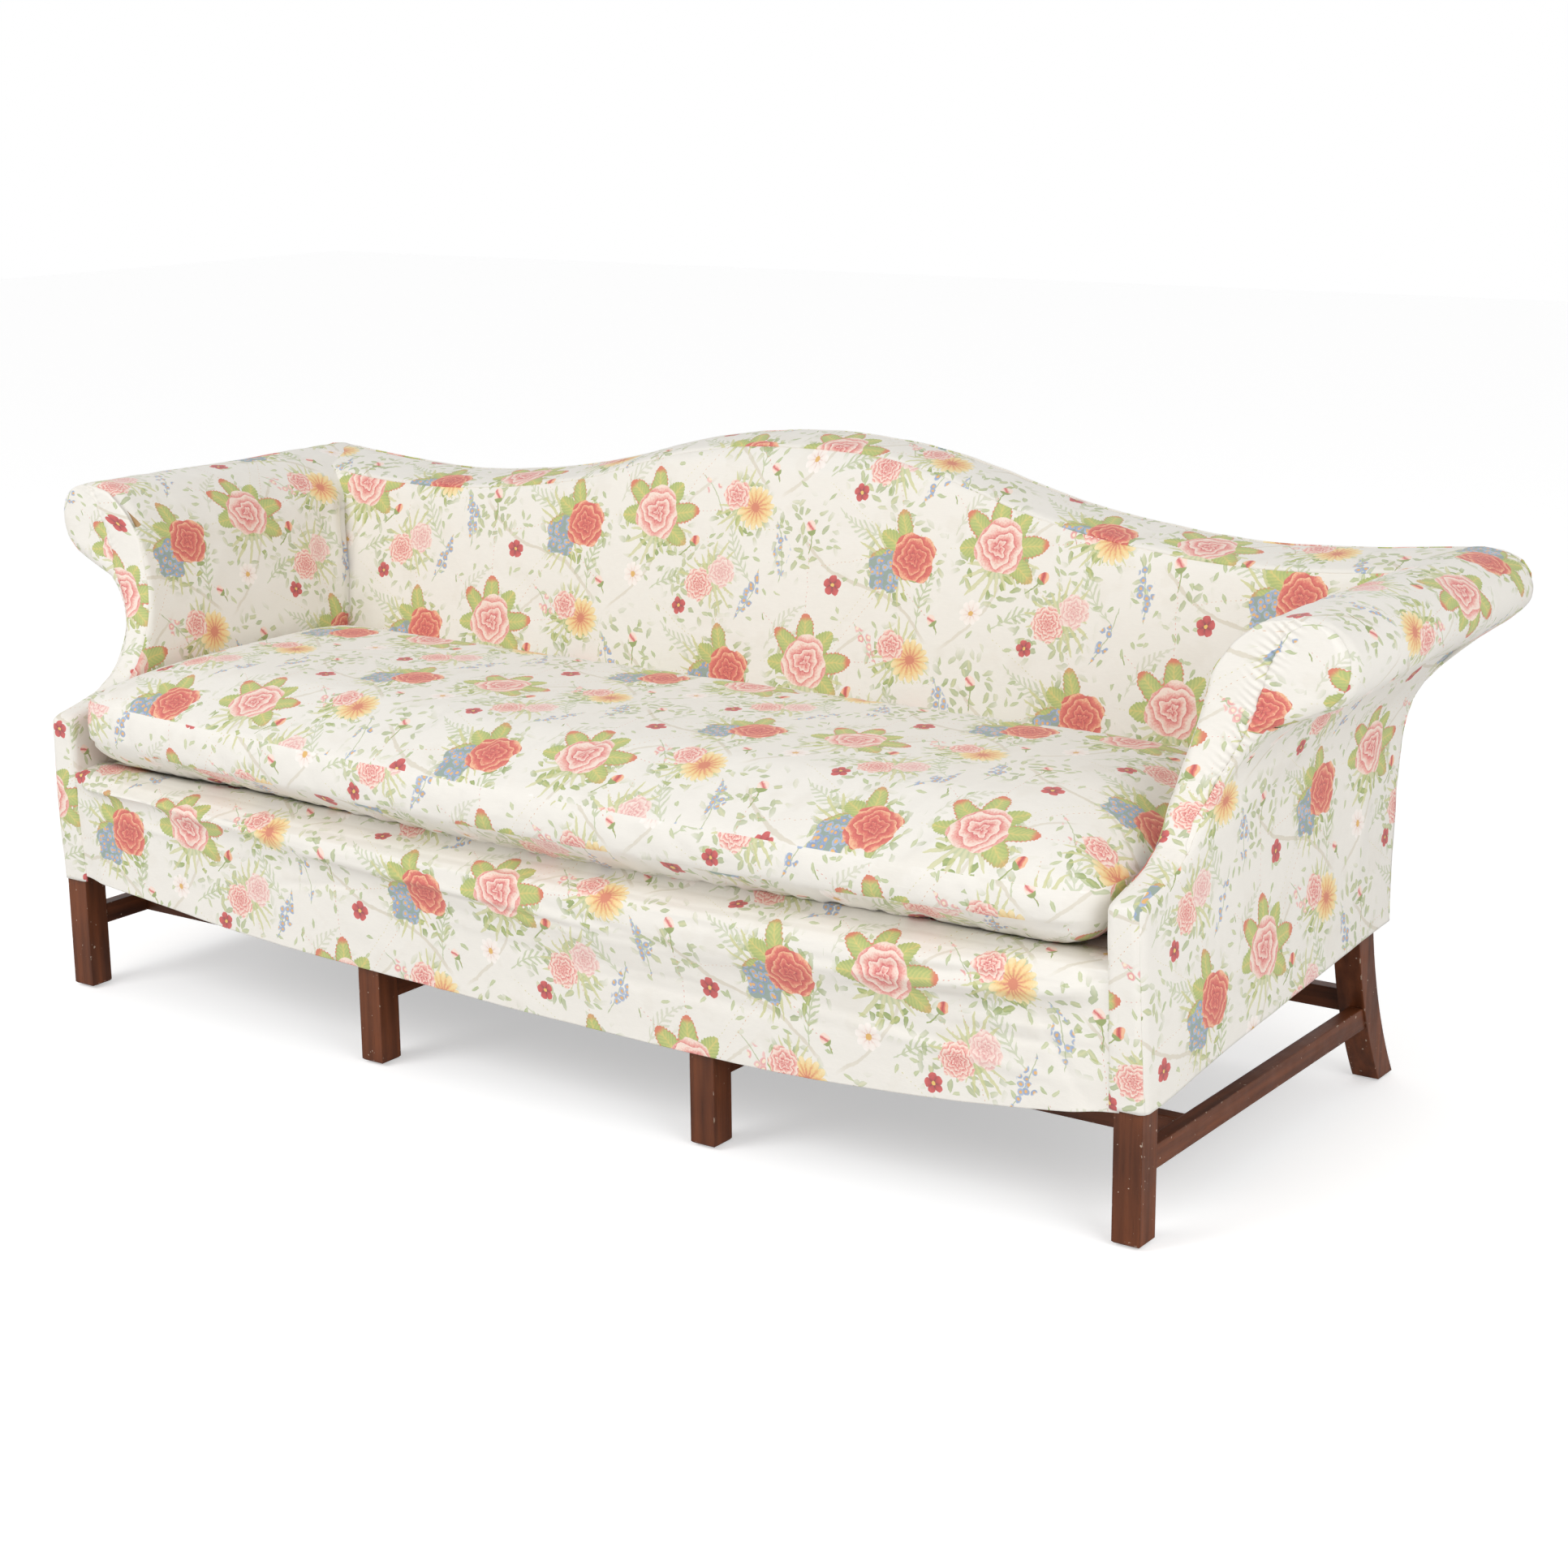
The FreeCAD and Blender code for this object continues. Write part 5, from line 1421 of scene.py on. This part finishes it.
pad, padFlat, padStart = seatCushion(cushionValues)
padPlaces = blowUp(pad, padFlat, padStart, cushionValues)
pucker(pad, padFlat, padPlaces, cushionValues)
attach(pad, "cushion")
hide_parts("cushion_case", "cushion_filling")
print("cushion made")

# Floor, lights and surrounding light

stageValues = {
    "world": 0.60,
    "glossyWorld": 0.8,
    "floor": (235, 235, 235),
    "floorHalf": 14,
    "floorGlow": (0.45, 0.45, 0.45, 1),
    # place, what it points at, size and power of each lamp
    "lamps": {
        "keyLamp": ((-1.6, -3.6, 3.2), (0, 0, 0.45), 2.6, 84.0),
        "fillLamp": ((3.6, -1.6, 2.0), (0.2, 0, 0.4), 2.4, 46.0),
    },
}


def areaLamp(name, place, target, size, power):
    lamp = bpy.data.objects.new(name, bpy.data.lights.new(name, "AREA"))
    lamp.data.shape = "DISK"
    lamp.data.size = size
    lamp.data.energy = power
    lamp.location = place
    lamp.rotation_euler = (Vector(place) - Vector(target)).to_track_quat("Z", "Y").to_euler()
    bpy.context.scene.collection.objects.link(lamp)


def ray(kind):
    return addNode("LightPath", {}, "Is " + kind + " Ray")


# The sky is plain white to the camera and to reflections, and dimmer as light
def setSky(values):
    global tree
    sky = bpy.data.worlds.new("studio")
    sky.use_nodes = True
    bpy.context.scene.world = sky
    tree = sky.node_tree
    seen = larger(larger(ray("Camera"), ray("Transmission")), ray("Glossy") * values["glossyWorld"])
    strength = fused(seen, 1 - values["world"], values["world"])
    feed(tree.nodes["Background"], {"Color": (1, 1, 1, 1), "Strength": strength})


# The floor glows a little to the camera alone, so that it looks white and still takes the sofa's shadow
def layFloor(values):
    form = bmesh.new()
    bmesh.ops.create_grid(form, x_segments=1, y_segments=1, size=values["floorHalf"])
    mesh = closeForm(form, "floor")[0]
    piece = bpy.data.objects.new("floor", mesh)
    bpy.context.scene.collection.objects.link(piece)
    material, shader = startMaterial("floorPaint")
    feed(shader, {"Roughness": 0.9, "Base Color": linear(values["floor"])})
    paint = Signal(shader.outputs[0])
    glow = addNode("Emission", {"Color": values["floorGlow"], "Strength": 1.0})
    lit = addNode("AddShader", {0: paint, 1: glow})
    shown = addNode("MixShader", {0: ray("Camera"), 1: paint, 2: lit})
    feed(tree.nodes["Material Output"], {"Surface": shown})
    mesh.materials.append(material)


bpy.context.scene.view_settings.view_transform = "Standard"
setSky(stageValues)
for name, row in stageValues["lamps"].items():
    areaLamp(name, *row)
layFloor(stageValues)
print("stage set")
